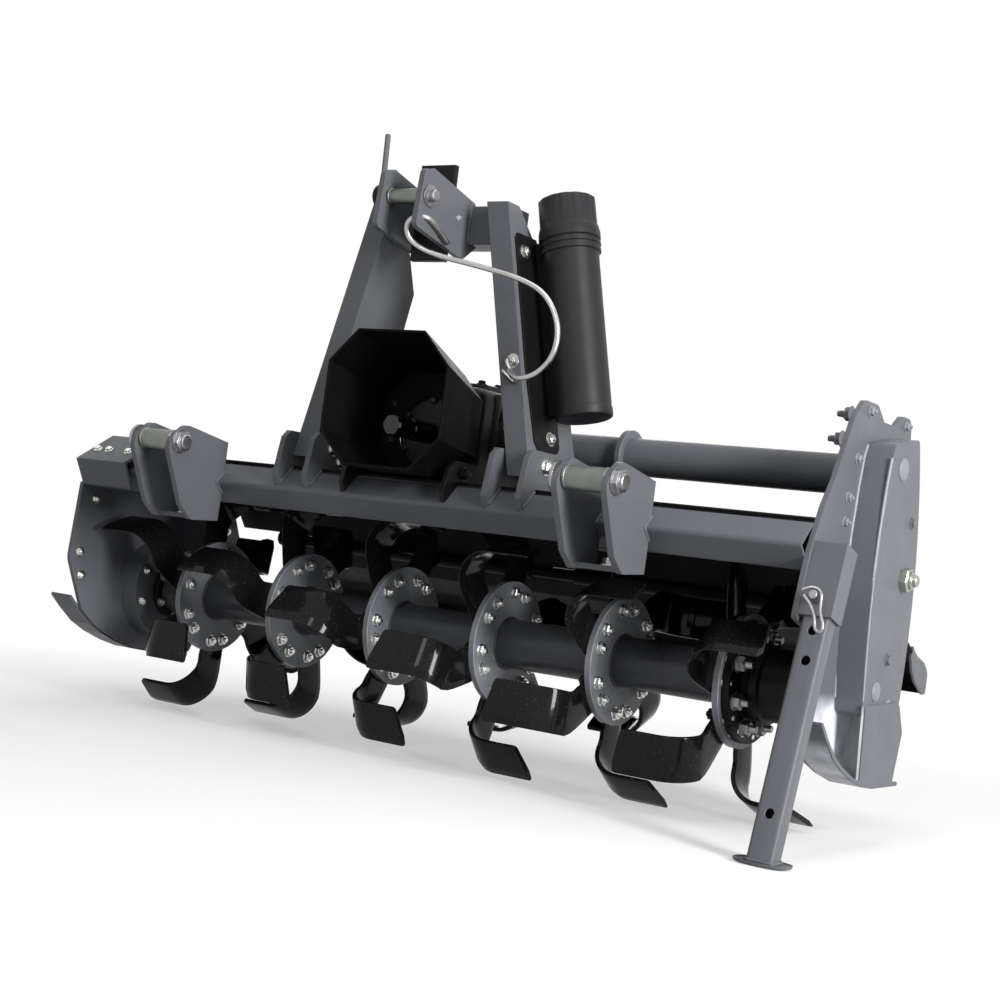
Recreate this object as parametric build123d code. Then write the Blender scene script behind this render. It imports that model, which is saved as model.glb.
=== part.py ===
"""Three-point-hitch rotary tiller with a chain-driven tined rotor.

Modelled about the rotor: X runs along the rotor to the right, Y to the rear and
Z up, with the rotor's axis at Y = Z = 0 and the mast's middle plane at X = 0.
Every piece is then moved so that the origin is on the floor, under the middle.
All sizes are in millimetres.
"""
from build123d import *
from math import atan2, copysign, cos, degrees, radians, sin, tan
import os

# ---------------------------------------------------------------- driving sizes
# rotor
FLANGE_PITCH = 214.0
FIRST_FLANGE_X = -528.0
FLANGE_RADIUS = 101.0
FLANGE_THICK = 10.0
TUBE_RADIUS = 40.0
FLANGE_COUNT = 6
TINE_RADIUS = 213.0            # swing of the blades' leading corners
TINE_REACH = 123.0             # how far a blade reaches sideways from its shank's far face
TINE_THICK = 8.0
BLADE_PLANE = 168.0            # a blade's outer face, measured square to it from the rotor's axis
TINE_BEND = 52.0               # outer radius of the bend from shank to blade
BEND_FLATS = 5                 # the bend is hammered in this many flats
TINE_OUTLINE = [               # y and z of a tine seen along the rotor, leading edge at low y
    (-74.0, 28.0),
    (-106.0, 72.0),
    (-125.0, 100.0),
    (-131.0, 116.0),
    (-131.0, 180.0),
    (-64.0, 180.0),
    (-64.0, 116.0),
    (-50.0, 96.0),
    (-22.0, 46.0),
]
TINES_PER_FLANGE = 6           # alternately left-hand and right-hand
FIRST_TINE_ANGLE = 23.4        # of the first flange's first left-hand blade, forward from upright
FLANGE_TURN = 15.0             # each flange is turned this much further than the one before

# side plates, with the chain case on the right one
PLATE_THICK = 8.0
LEFT_PLATE_X = -693.0          # left face of each plate
RIGHT_PLATE_X = 695.0
CASE_DEPTH = 42.0
SOLE_REACH = 48.0              # how far a skid's sole stands out from its plate
SOLE_THICK = 6.0
SOLE_PATH = [                  # y and z along the middle of the sole, from its raised front end
    (-200.0, -30.0),
    (-178.0, -50.0),
    (-146.0, -75.0),
    (-112.0, -92.0),
    (-70.0, -107.0),
    (-30.0, -117.0),
    (10.0, -121.0),
    (112.0, -121.0),
]
SHAFT_RADIUS = 22.0            # stub shafts at the rotor's ends
DRUM_RADIUS = 90.0             # bearing housing on the left plate
DRUM_DEPTH = 40.0
RUNNING_GAP = 0.1

# front beam, a square tube standing on its corner
BEAM_Y = -178.0
BEAM_Z = 204.0
BEAM_SIDE = 50.0
BEAM_WALL = 4.0
BEAM_HALF = 0.7071             # half diagonal of a square of side 1

# hood over the rotor, a folded sheet, and the tailboard hinged behind it
SHEET = 5.0
HOOD_Z = 242.0
HINGE_Y = 236.0
HINGE_Z = 122.0
HINGE_ROD_RADIUS = 8.0
KNUCKLE_RADIUS = 12.0
KNUCKLE_LENGTH = 44.0
HINGE_X = (-520.0, 45.0, 610.0)
HINGE_CLEAR = 16.0             # how far the middles of the two sheets' edges keep from the axis
HOOD_FALL = 54.0               # slope of the hood's last fold, and of the tailboard's first
BOARD_FALL = 50.0
TAILBOARD_X = (-598.0, 688.0)

# gear drive
DRIVE_Y = 10.0
DRIVE_Z = 321.0
DRIVE_TUBE_RADIUS = 30.0
GEARBOX_WIDTH = 190.0
GEARBOX_LENGTH = 206.0
GEARBOX_HEIGHT = 176.0
GEARBOX_FRONT_Y = -126.0
PTO_RADIUS = 17.45             # 1-3/8 inch spline
PTO_END_Y = -232.0
SHIELD_FRONT_Y = -262.0
SHIELD_FRONT_Z = 358.0
SHIELD_REAR_Z = 333.0
SHIELD_WIDTH = 234.0
SHIELD_HEIGHT = 216.0
SHIELD_CHAMFER = 52.0
SHIELD_WALL = 3.5
SHIELD_TAPER = 0.8             # the shield's rear end over its mouth

# hitch: category 2 pins, in bushes where the links' balls sit
PIN_Y = -310.0
PIN_Z = 259.5
PIN_SPAN = 824.0               # between the middles of the lower clevises
CLEVIS_GAP = 70.0
CLEVIS_THICK = 10.0
LOWER_PIN_RADIUS = 14.2
BUSH_RADIUS = 18.25
TOP_PIN_Y = -266.0
TOP_PIN_Z = 674.0
TOP_GAP = 66.0
TOP_PIN_RADIUS = 9.5
TOP_BUSH_RADIUS = 12.7

# mast
POST_WIDTH = 40.0
POST_TOP_X = 132.0             # outer faces at the top and at the foot
POST_TOP_Z = 686.0
POST_FOOT_X = 234.0
POST_FOOT_Z = 262.0
POST_FRONT_Y = -182.0
CROSSBAR_HEIGHT = 62.0
CANISTER_RADIUS = 44.0
CANISTER_TOP = (186.0, -100.0, 706.0)
CROSSBAR_Y = -152.0            # its front face
FOOT_INNER_X = 172.0           # inner face of the pair of plates at a post's foot
FOOT_GAP = 52.0
FOOT_TOP_Z = 302.0

# drive shaft's hanger, a bent round rod
HANGER_RADIUS = 4.0
HANGER_END = (-262.0, 634.0)   # y and z of its end on the top clevis

# parking stand: a pinned leg in a sleeve on the right plate
LEG_WIDTH = 38.0
LEG_DEPTH = 30.0
LEG_TILT = 16.0                # the foot stands forward of the sleeve
LEG_X = 727.0
LEG_GAP = 0.2
SLEEVE_TOP = (-168.0, 207.0)   # y and z on the leg's axis
SLEEVE_LENGTH = 104.0
SLEEVE_WALL = 4.8
FOOT_SIZE = (78.0, 50.0, 6.0)

# the whole machine's reach, for placing the origin
FLOOR_Z = -TINE_RADIUS
LEFT_END_X = LEFT_PLATE_X - SOLE_REACH
RIGHT_END_X = RIGHT_PLATE_X + PLATE_THICK + CASE_DEPTH + 24.0
FRONT_END_Y = PIN_Y - 23.5
REAR_END_Y = 382.5
SHIFT = Location((-(LEFT_END_X + RIGHT_END_X) / 2, -(FRONT_END_Y + REAR_END_Y) / 2, -FLOOR_Z))

nodes = {}


# ---------------------------------------------------------------- helpers
def at(x, y, z):
    return Location((x, y, z))


def box(x0, x1, y0, y1, z0, z1):
    size = (x1 - x0, y1 - y0, z1 - z0)
    return at((x0 + x1) / 2, (y0 + y1) / 2, (z0 + z1) / 2) * Box(*size)


def rod_x(x0, x1, y, z, radius):
    """A round bar along X."""
    return at((x0 + x1) / 2, y, z) * Rot(0, 90, 0) * Cylinder(radius, x1 - x0)


def rod_y(y0, y1, x, z, radius):
    """A round bar along Y."""
    return at(x, (y0 + y1) / 2, z) * Rot(90, 0, 0) * Cylinder(radius, y1 - y0)


def plate(points, x0, x1, rounds=None):
    """A plate across X: its outline's (y, z) corners, and radii by corner number."""
    face = make_face(Polyline(*points, close=True))
    for corner, radius in (rounds or {}).items():
        vertex = face.vertices().sort_by_distance((*points[corner], 0))[0]
        face = fillet(vertex, radius)
    return at(x0, 0, 0) * extrude(Plane.YZ * face, amount=x1 - x0)


def sheet(points, x0, x1, thick):
    """A folded sheet along X whose middle line has the given (y, z) corners."""
    face = make_face(offset(Polyline(*points), amount=thick / 2, side=Side.BOTH, kind=Kind.INTERSECTION))
    return at(x0, 0, 0) * extrude(Plane.YZ * face, amount=x1 - x0)


def square_tube(length, side, wall):
    """A square tube along X, from 0 to its length."""
    face = RectangleRounded(side, side, 1.5 * wall) - Rectangle(side - 2 * wall, side - 2 * wall)
    return extrude(Plane.YZ * face, amount=length)


def mirrored(shape):
    return mirror(shape, about=Plane.YZ)


def group(*shapes):
    return Compound(children=[s for shape in shapes for s in shape.solids()])


# ---------------------------------------------------------------- rotor
def flange_x(index):
    return FIRST_FLANGE_X + FLANGE_PITCH * index


def flange_disc(index):
    """A round flange that closes the tube and carries the tines on its left face."""
    x = flange_x(index)
    return rod_x(x - FLANGE_THICK / 2, x + FLANGE_THICK / 2, 0, 0, FLANGE_RADIUS)


def tine():
    """One right-hand tine: a flat shank in the YZ plane, bent to +X into a pitched blade."""
    turns = [radians(90 * step / BEND_FLATS) for step in range(BEND_FLATS + 1)]
    centre = BLADE_PLANE - TINE_BEND
    inside = TINE_BEND - TINE_THICK
    outer = [(TINE_BEND * (1 - cos(turn)), centre + TINE_BEND * sin(turn)) for turn in turns]
    inner = [(TINE_BEND - inside * cos(turn), centre + inside * sin(turn)) for turn in reversed(turns)]
    tip = [(TINE_REACH, BLADE_PLANE), (TINE_REACH, BLADE_PLANE - TINE_THICK)]
    bent = make_face(Polyline((0.0, 0.0), *outer, *tip, *inner, (TINE_THICK, 0.0), close=True))
    slab = extrude(Plane.XZ * bent, amount=TINE_RADIUS, both=True)
    outline = make_face(Polyline(*TINE_OUTLINE, close=True))
    return slab & extrude(Plane.YZ * outline, amount=TINE_REACH + 10)


def tines(hand):
    """All tines of one hand, bolted on the flanges' left faces, each flange a step further round."""
    blade = at(-FLANGE_THICK / 2 - TINE_THICK, 0, 0) * tine()
    if hand == "left":
        blade = at(-FLANGE_THICK - TINE_THICK, 0, 0) * mirrored(blade)
    step = 360 / TINES_PER_FLANGE
    first = FIRST_TINE_ANGLE + (0 if hand == "left" else step)
    blades = []
    for index in range(FLANGE_COUNT):
        for number in range(TINES_PER_FLANGE // 2):
            angle = first + index * FLANGE_TURN + number * 2 * step
            blades.append(at(flange_x(index), 0, 0) * Rot(angle, 0, 0) * blade)
    return group(*blades)


def rotor_tubes():
    """The lengths of tube between the flanges, and the one out to the left hub."""
    half = FLANGE_THICK / 2
    starts = [LEFT_PLATE_X + PLATE_THICK + 58.0] + [flange_x(index) + half for index in range(FLANGE_COUNT - 1)]
    return group(*[rod_x(x, flange_x(index) - half, 0, 0, TUBE_RADIUS) for index, x in enumerate(starts)])


def rotor_hubs():
    """The ends of the rotor with their stub shafts: a plain hub, and the bolted drive hub."""
    drum_face = LEFT_PLATE_X + PLATE_THICK + DRUM_DEPTH
    left = rod_x(drum_face + 6.0, drum_face + 18.0, 0, 0, 52.0)
    left += rod_x(drum_face - 30.0, drum_face + 6.0, 0, 0, SHAFT_RADIUS)
    start = flange_x(FLANGE_COUNT - 1) + FLANGE_THICK / 2
    hub_end = RIGHT_PLATE_X - 10.0
    right = rod_x(start, start + 12.0, 0, 0, 92.0) + rod_x(start + 12.0, hub_end, 0, 0, 52.0)
    right += rod_x(hub_end, RIGHT_PLATE_X + PLATE_THICK - 1.0, 0, 0, SHAFT_RADIUS)
    return group(left, right)


def make_rotor():
    nodes["rotor_flanges"] = group(*[flange_disc(index) for index in range(FLANGE_COUNT)])
    nodes["rotor_tubes"] = rotor_tubes()
    nodes["rotor_hubs"] = rotor_hubs()
    nodes["tines_left_hand"] = tines("left")
    nodes["tines_right_hand"] = tines("right")


# ---------------------------------------------------------------- side plates
def left_plate():
    """Left side plate, with the lobe that reaches down to the skid's sole."""
    corners = [
        (-214.0, 176.0),
        (-222.0, 40.0),
        *SOLE_PATH[1:],
        (206.0, 60.0),
        (220.0, 100.0),
        (186.0, 172.0),
        (92.0, HOOD_Z - SHEET / 2),
        (-118.0, HOOD_Z - SHEET / 2),
    ]
    rounds = {1: 40.0, 9: 20.0}
    return plate(corners, LEFT_PLATE_X, LEFT_PLATE_X + PLATE_THICK, rounds)


def right_plate():
    """Right side plate, taller, because it carries the chain case and the drive tube."""
    corners = [
        (-166.0, 262.0),
        (-196.0, 198.0),
        (-219.0, 106.0),
        (-176.0, 92.0),
        (-152.0, 50.0),
        (-158.0, -26.0),
        *SOLE_PATH[1:],
        (150.0, 30.0),
        (220.0, 80.0),
        (220.0, 104.0),
        (150.0, 230.0),
        (138.0, 380.0),
        (130.0, 421.0),
        (90.0, 421.0),
        (64.0, 402.0),
        (18.0, 402.0),
        (-12.0, 423.0),
        (-64.0, 423.0),
        (-96.0, 392.0),
        (-140.0, 300.0),
    ]
    rounds = {2: 6.0, 3: 20.0, 4: 40.0, 5: 14.0, 16: 60.0, 18: 16.0, 19: 16.0, 22: 18.0, 23: 18.0}
    edge = plate(corners, RIGHT_PLATE_X, RIGHT_PLATE_X + PLATE_THICK, rounds)
    bore = rod_x(RIGHT_PLATE_X - 1, RIGHT_PLATE_X + PLATE_THICK + 1, 0, 0, SHAFT_RADIUS + RUNNING_GAP)
    return edge - bore


def skid(x0, web_x):
    """A curved runner that rises at the front like a ski, with an upright flank."""
    sole = sheet(SOLE_PATH, x0, x0 + SOLE_REACH, SOLE_THICK)
    foot = SOLE_PATH[-1][1]
    corners = [
        (-50.0, -6.0),
        (-40.0, SOLE_PATH[5][1]),
        (10.0, foot),
        (92.0, foot),
        (112.0, -46.0),
        (84.0, 0.0),
    ]
    web = plate(corners, web_x, web_x + SOLE_THICK, {5: 20.0})
    return sole + web


def make_sides():
    drum_x = LEFT_PLATE_X + PLATE_THICK
    bore = rod_x(drum_x + 4.0, drum_x + DRUM_DEPTH + 1.0, 0, 0, SHAFT_RADIUS + RUNNING_GAP)
    nodes["side_plate_left"] = left_plate() + rod_x(drum_x, drum_x + DRUM_DEPTH, 0, 0, DRUM_RADIUS) - bore
    nodes["side_plate_right"] = right_plate()
    right_out = RIGHT_PLATE_X + PLATE_THICK
    nodes["skid_right"] = skid(right_out, right_out + CASE_DEPTH)
    nodes["skid_left"] = skid(LEFT_PLATE_X - SOLE_REACH, LEFT_PLATE_X - SOLE_THICK)
    gusset = [(-212.0, 176.0), (-235.0, 217.0), (-158.0, 266.0)]
    nodes["end_gusset_left"] = sheet(gusset, drum_x, drum_x + 120.0, SHEET)


# ---------------------------------------------------------------- chain case
def chain_case():
    """The closed case on the right plate, its front and rear edges gently bowed."""
    front = ThreePointArc((-44.0, -20.0), (-62.0, 180.0), (-36.0, 366.0))
    top = Line((-36.0, 366.0), (58.0, 384.0))
    rear = ThreePointArc((58.0, 384.0), (104.0, 190.0), (96.0, -30.0))
    foot = Line((96.0, -30.0), (-44.0, -20.0))
    face = make_face([front, top, rear, foot])
    face = fillet(face.vertices(), 10.0)
    start = RIGHT_PLATE_X + PLATE_THICK
    return at(start, 0, 0) * extrude(Plane.YZ * face, amount=CASE_DEPTH)


def make_case():
    nodes["chain_case"] = chain_case()
    start = RIGHT_PLATE_X + PLATE_THICK + CASE_DEPTH
    nut = at(52.0, 178.0, 0) * RegularPolygon(14.0, 6)
    nodes["chain_tensioner"] = at(start, 0, 0) * extrude(Plane.YZ * nut, amount=24.0)


# ---------------------------------------------------------------- frame and hood
def hinge_point(fall, along, out):
    """A point beside the hinge's axis: along a slope of so many degrees, and out of it."""
    slope = radians(fall)
    y = HINGE_Y + along * cos(slope) + out * sin(slope)
    z = HINGE_Z - along * sin(slope) + out * cos(slope)
    return y, z


def knuckles(fall, reach, side):
    """Eight-sided eyes round the hinge rod, each with a web out to the edge of its sheet."""
    tip = hinge_point(fall, reach - copysign(SHEET, reach), 0.0)
    web = make_face(offset(Line((HINGE_Y, HINGE_Z), tip), amount=SHEET / 2, side=Side.BOTH, kind=Kind.INTERSECTION))
    ring = web + at(HINGE_Y, HINGE_Z, 0) * RegularPolygon(KNUCKLE_RADIUS, 8)
    ring -= at(HINGE_Y, HINGE_Z, 0) * Circle(HINGE_ROD_RADIUS + RUNNING_GAP)
    pieces = []
    for x in HINGE_X:
        x0, x1 = sorted((x + side, x + side * KNUCKLE_LENGTH))
        pieces.append(at(x0, 0, 0) * extrude(Plane.YZ * ring, amount=x1 - x0))
    return group(*pieces)


def make_frame():
    length = RIGHT_PLATE_X - LEFT_PLATE_X - PLATE_THICK
    beam = at(LEFT_PLATE_X + PLATE_THICK, BEAM_Y, BEAM_Z) * Rot(45, 0, 0) * square_tube(length, BEAM_SIDE, BEAM_WALL)
    nodes["front_beam"] = beam
    knee = hinge_point(HOOD_FALL, -HINGE_CLEAR - 53.0, 0.0)
    edge = hinge_point(HOOD_FALL, -HINGE_CLEAR, 0.0)
    fold = [(BEAM_Y + 4.0, HOOD_Z), (92.0, HOOD_Z), knee, edge]
    nodes["hood"] = sheet(fold, LEFT_PLATE_X + PLATE_THICK, RIGHT_PLATE_X, SHEET)
    nodes["hood_hinges"] = knuckles(HOOD_FALL, -HINGE_CLEAR, -1)


def make_tailboard():
    x0, x1 = TAILBOARD_X
    curve = [
        hinge_point(BOARD_FALL, HINGE_CLEAR, 0.0),
        hinge_point(BOARD_FALL, 48.0, 0.0),
        (HINGE_Y + 86.0, HINGE_Z - 62.0),
        (HINGE_Y + 124.0, HINGE_Z - 72.0),
        (HINGE_Y + 144.0, HINGE_Z - 88.0),
    ]
    nodes["tailboard"] = sheet(curve, x0, x1, SHEET)
    nodes["tailboard_hinges"] = knuckles(BOARD_FALL, HINGE_CLEAR, 1)
    ends = HINGE_X[0] - KNUCKLE_LENGTH - 6.0, HINGE_X[-1] + KNUCKLE_LENGTH + 6.0
    nodes["hinge_rod"] = rod_x(*ends, HINGE_Y, HINGE_Z, HINGE_ROD_RADIUS)


# ---------------------------------------------------------------- gear drive
def make_drive():
    start = GEARBOX_WIDTH / 2
    front = GEARBOX_FRONT_Y
    top = HOOD_Z + SHEET / 2
    nodes["gearbox"] = box(-start, start, front, front + GEARBOX_LENGTH, top, top + GEARBOX_HEIGHT)
    nodes["drive_tube"] = rod_x(start, RIGHT_PLATE_X, DRIVE_Y, DRIVE_Z, DRIVE_TUBE_RADIUS)
    nodes["pto_shaft"] = rod_y(PTO_END_Y, front - 1.0, 0, DRIVE_Z, PTO_RADIUS)
    nodes["pto_shield"] = pto_shield(front)
    mount = beam_bracket(start, 8.0, 276.0, -60.0)
    nodes["gearbox_mounts"] = group(mount, mirrored(mount))


def octagon(size, y, z):
    """Corners of the shield's outline about (0, y, z), a share of its mouth in size."""
    w, h, c = SHIELD_WIDTH / 2, SHIELD_HEIGHT / 2, SHIELD_CHAMFER
    corners = [(w, h - c), (w - c, h), (c - w, h), (-w, h - c), (-w, c - h), (c - w, -h), (w - c, -h), (w, c - h)]
    return [(px * size, y, z + pz * size) for px, pz in corners]


def flat_sided(front, rear):
    """A solid between two like outlines, closed by flat faces."""
    loops = [front, rear]
    for here, there in zip(range(len(front)), [*range(1, len(front)), 0]):
        loops.append([front[here], front[there], rear[there], rear[here]])
    return Solid(Shell([Face(Wire.make_polygon(loop, close=True)) for loop in loops]))


def pto_shield(rear_y):
    """A funnel of eight flat sides, open at the front and fixed to the gearbox."""
    def funnel(size):
        return flat_sided(
            octagon(size, SHIELD_FRONT_Y, SHIELD_FRONT_Z),
            octagon(SHIELD_TAPER * size, rear_y, SHIELD_REAR_Z),
        )

    return funnel(1.0) - funnel(1.0 - 2 * SHIELD_WALL / SHIELD_WIDTH)


# ---------------------------------------------------------------- hitch
def clevis_plate(x0):
    """Plate of a lower clevis, notched over the beam's front corner."""
    notch = BEAM_Y - BEAM_SIDE * BEAM_HALF
    rear = notch + 17.0
    corners = [
        (-300.0, 289.0),
        (rear, 272.0),
        (rear, BEAM_Z + 17.0),
        (notch, BEAM_Z),
        (rear, BEAM_Z - 17.0),
        (rear - 2.0, 138.0),
        (-262.0, 134.0),
        (-290.0, 156.0),
        (-340.0, 256.0),
    ]
    return plate(corners, x0, x0 + CLEVIS_THICK, {0: 22.0, 8: 26.0, 6: 12.0})


def lower_clevis(middle):
    """Two plates across the beam, tied at the bottom by a strap, bored for the pin."""
    half = CLEVIS_GAP / 2
    pair = clevis_plate(middle - half - CLEVIS_THICK) + clevis_plate(middle + half)
    strap = box(middle - half, middle + half, -256.0, -206.0, 136.0, 144.0)
    bore = rod_x(middle - 80, middle + 80, PIN_Y, PIN_Z, LOWER_PIN_RADIUS + 0.25)
    return pair + strap - bore


def make_hitch():
    half = PIN_SPAN / 2
    inner = CLEVIS_GAP / 2
    pin_end = inner + CLEVIS_THICK + 12.0
    clevises, bushes, pins = [], [], []
    for middle in (-half, half):
        clevises.append(lower_clevis(middle))
        pin = rod_x(middle - pin_end, middle + pin_end, PIN_Y, PIN_Z, LOWER_PIN_RADIUS)
        hole = rod_x(middle - inner, middle + inner, PIN_Y, PIN_Z, LOWER_PIN_RADIUS + 0.25)
        bushes.append(rod_x(middle - inner, middle + inner, PIN_Y, PIN_Z, BUSH_RADIUS) - hole)
        pins.append(pin)
    nodes["lower_clevises"] = group(*clevises)

    top = [(-284.0, 712.0), (-262.0, 718.0), (-143.0, 692.0), (-122.0, 628.0), (-160.0, 598.0), (-292.0, 622.0)]
    rounds = {0: 10.0, 3: 8.0, 4: 14.0, 5: 10.0}
    bore = rod_x(-80, 80, TOP_PIN_Y, TOP_PIN_Z, TOP_PIN_RADIUS + 0.25)
    inner = TOP_GAP / 2
    pair = [plate(top, x0, x0 + CLEVIS_THICK, rounds) - bore - crossbar() for x0 in (-inner - CLEVIS_THICK, inner)]
    nodes["top_clevis"] = group(*pair)
    bush = rod_x(-inner, inner, TOP_PIN_Y, TOP_PIN_Z, TOP_BUSH_RADIUS)
    bushes.append(bush - rod_x(-inner, inner, TOP_PIN_Y, TOP_PIN_Z, TOP_PIN_RADIUS + 0.25))
    nodes["hitch_bushes"] = group(*bushes)
    head = -inner - CLEVIS_THICK
    pin = rod_x(head - 2.0, inner + CLEVIS_THICK + 14.0, TOP_PIN_Y, TOP_PIN_Z, TOP_PIN_RADIUS)
    handle = box(head - 14.0, head - 2.0, TOP_PIN_Y - 15.0, TOP_PIN_Y + 15.0, TOP_PIN_Z - 15.0, TOP_PIN_Z + 100.0)
    pins.append(pin + handle)
    nodes["hitch_pins"] = group(*pins)
    nodes["top_stop_plate"] = box(-inner, inner, -196.0, -186.0, 588.0, 742.0)


# ---------------------------------------------------------------- mast
def mast_post():
    """Right post: a deep tapered section leaning in towards the top."""
    profile = [
        (POST_FRONT_Y, POST_FOOT_Z),
        (POST_FRONT_Y, POST_TOP_Z),
        (-150.0, POST_TOP_Z),
        (-56.0, 560.0),
        (-40.0, 300.0),
        (-60.0, POST_FOOT_Z),
    ]
    blank = plate(profile, 0.0, 400.0)
    lean = (POST_FOOT_X - POST_TOP_X) / (POST_TOP_Z - POST_FOOT_Z)
    front = [
        (POST_FOOT_X, POST_FOOT_Z),
        (POST_TOP_X, POST_TOP_Z),
        (POST_TOP_X - POST_WIDTH, POST_TOP_Z),
        (POST_FOOT_X - POST_WIDTH, POST_FOOT_Z),
    ]
    slab = extrude(Plane.XZ * make_face(Polyline(*front, close=True)), amount=400.0, both=True)
    return blank & slab


def crossbar():
    """Square bar between the tops of the posts, which carries the top clevis."""
    low = POST_TOP_Z - CROSSBAR_HEIGHT
    return box(-120.0, 120.0, CROSSBAR_Y, CROSSBAR_Y + 50.0, low, POST_TOP_Z)


def beam_bracket(x0, thick, top_z, rear_y):
    """An upright plate that stands on the beam's ridge and on the hood."""
    ridge = BEAM_Z + BEAM_SIDE * BEAM_HALF
    hood_top = HOOD_Z + SHEET / 2
    cut = 12.0
    corners = [
        (-205.0, top_z - cut),
        (-205.0 + cut, top_z),
        (rear_y - cut, top_z),
        (rear_y, top_z - cut),
        (rear_y, hood_top),
        (BEAM_Y + 2.0, hood_top),
        (BEAM_Y, ridge),
        (BEAM_Y - 30.0, ridge - 30.0),
        (-216.0, 226.0),
    ]
    return plate(corners, x0, x0 + thick)


def make_mast():
    post = mast_post()
    bar = crossbar() - post - mirrored(post)
    nodes["mast_crossbar"] = bar
    inner = beam_bracket(FOOT_INNER_X, CLEVIS_THICK, FOOT_TOP_Z, -106.0)
    outer = beam_bracket(FOOT_INNER_X + CLEVIS_THICK + FOOT_GAP, CLEVIS_THICK, FOOT_TOP_Z, -106.0)
    nodes["mast_feet"] = group(inner, outer, mirrored(inner), mirrored(outer))
    nodes["mast_post_right"] = post
    nodes["mast_post_left"] = mirrored(post)


def make_extras():
    """The document canister on the right post, and the drive shaft's hanger."""
    lean = atan2(POST_FOOT_X - POST_TOP_X, POST_TOP_Z - POST_FOOT_Z)
    x, y, z = CANISTER_TOP
    axis = at(x, y, z) * Rot(0, -degrees(lean), 0)
    body = at(0, 0, -204.0) * Cylinder(CANISTER_RADIUS, 296.0)
    cap = at(0, 0, -28.0) * Cylinder(CANISTER_RADIUS + 5.0, 56.0)
    nodes["document_canister"] = axis * (body + cap)
    post_gap = (x - POST_TOP_X) * cos(lean) + (z - POST_TOP_Z) * sin(lean)
    block = box(-post_gap, -CANISTER_RADIUS + 6.0, -15.0, 15.0, -340.0, -62.0)
    nodes["canister_bracket"] = axis * (block - body)

    y, z = HANGER_END
    front = POST_FRONT_Y - 40.0
    path = Polyline(
        (200.0, POST_FRONT_Y, 410.0),
        (200.0, front, 410.0),
        (262.0, front, 424.0),
        (282.0, front, 476.0),
        (240.0, front, 548.0),
        (92.0, front, 577.0),
        (64.0, y, z),
        (TOP_GAP / 2 + CLEVIS_THICK, y, z),
    )
    profile = Plane(path @ 0, z_dir=path % 0) * RegularPolygon(HANGER_RADIUS, 8)
    nodes["shaft_hanger"] = sweep(profile, path, transition=Transition.RIGHT)


# ---------------------------------------------------------------- parking stand
def leg_frame(x, y, z):
    """A place on the leg's slanted axis, with +Z up along the leg."""
    return at(x, y, z) * Rot(-LEG_TILT, 0, 0)


def make_stand():
    """A square leg in a sleeve on the right plate, pinned at one of its holes."""
    y, z = SLEEVE_TOP
    top = leg_frame(LEG_X, y, z)
    floor = at(LEG_X, y, FLOOR_Z - 50.0) * Box(200, 600, 100 + 2 * FOOT_SIZE[2])

    gap = Box(LEG_WIDTH + 2 * LEG_GAP, LEG_DEPTH + 2 * LEG_GAP, SLEEVE_LENGTH + 2)
    around = 2 * (LEG_GAP + SLEEVE_WALL)
    sleeve = Box(LEG_WIDTH + around, LEG_DEPTH + around, SLEEVE_LENGTH) - gap
    sleeve = at(0, 0, -SLEEVE_LENGTH / 2) * sleeve
    nodes["stand_sleeve"] = top * sleeve

    reach = (z - FLOOR_Z) / cos(radians(LEG_TILT)) + 20.0
    leg = at(0, 0, -4.0 - reach / 2) * Box(LEG_WIDTH, LEG_DEPTH, reach)
    nodes["stand_leg"] = top * leg - floor
    foot_y = y - (z - FLOOR_Z) * tan(radians(LEG_TILT))
    width, depth, thick = FOOT_SIZE
    outline = Rectangle(width, depth)
    pad = extrude(chamfer(outline.vertices(), 12), amount=thick)
    nodes["stand_foot"] = at(LEG_X, foot_y, FLOOR_Z) * pad


for make in (make_rotor, make_sides, make_case, make_frame, make_tailboard, make_drive, make_hitch,
             make_mast, make_extras, make_stand):
    make()

os.makedirs("parts", exist_ok=True)
for name, shape in nodes.items():
    export_step(SHIFT * shape, f"parts/{name}.step")
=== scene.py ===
"""Looks of a three-point rotary tiller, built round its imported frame.

The file is laid out as an add-on: property groups hold the sizes and colours, one
operator makes each piece or group of like pieces, and a panel lists them.
Lengths are in metres. -Y is the front, +Z is up, and +X runs along the rotor to the
chain case; left and right are as seen from the front.
"""

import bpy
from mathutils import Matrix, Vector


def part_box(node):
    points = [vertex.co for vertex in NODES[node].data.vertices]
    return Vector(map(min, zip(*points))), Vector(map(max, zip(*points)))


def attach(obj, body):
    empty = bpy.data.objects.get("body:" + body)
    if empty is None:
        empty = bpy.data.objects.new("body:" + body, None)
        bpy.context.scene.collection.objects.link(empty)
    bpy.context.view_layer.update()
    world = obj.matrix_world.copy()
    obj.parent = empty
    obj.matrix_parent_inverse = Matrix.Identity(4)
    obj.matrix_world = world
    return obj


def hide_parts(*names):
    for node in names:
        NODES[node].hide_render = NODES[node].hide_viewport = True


bl_info = {
    "name": "Rotary tiller finish",
    "version": (1, 0, 0),
    "blender": (4, 5, 0),
    "location": "View3D > Sidebar > Tiller",
    "description": "Finishes, fasteners and fine parts of a rotary tiller",
    "category": "Object",
}

from math import atan2, cos, pi, radians, sin, tan

import bmesh
import bpy
from bpy.props import FloatProperty, FloatVectorProperty, PointerProperty
from bpy.types import Operator, Panel, PropertyGroup
from mathutils import Matrix, Vector

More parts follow.
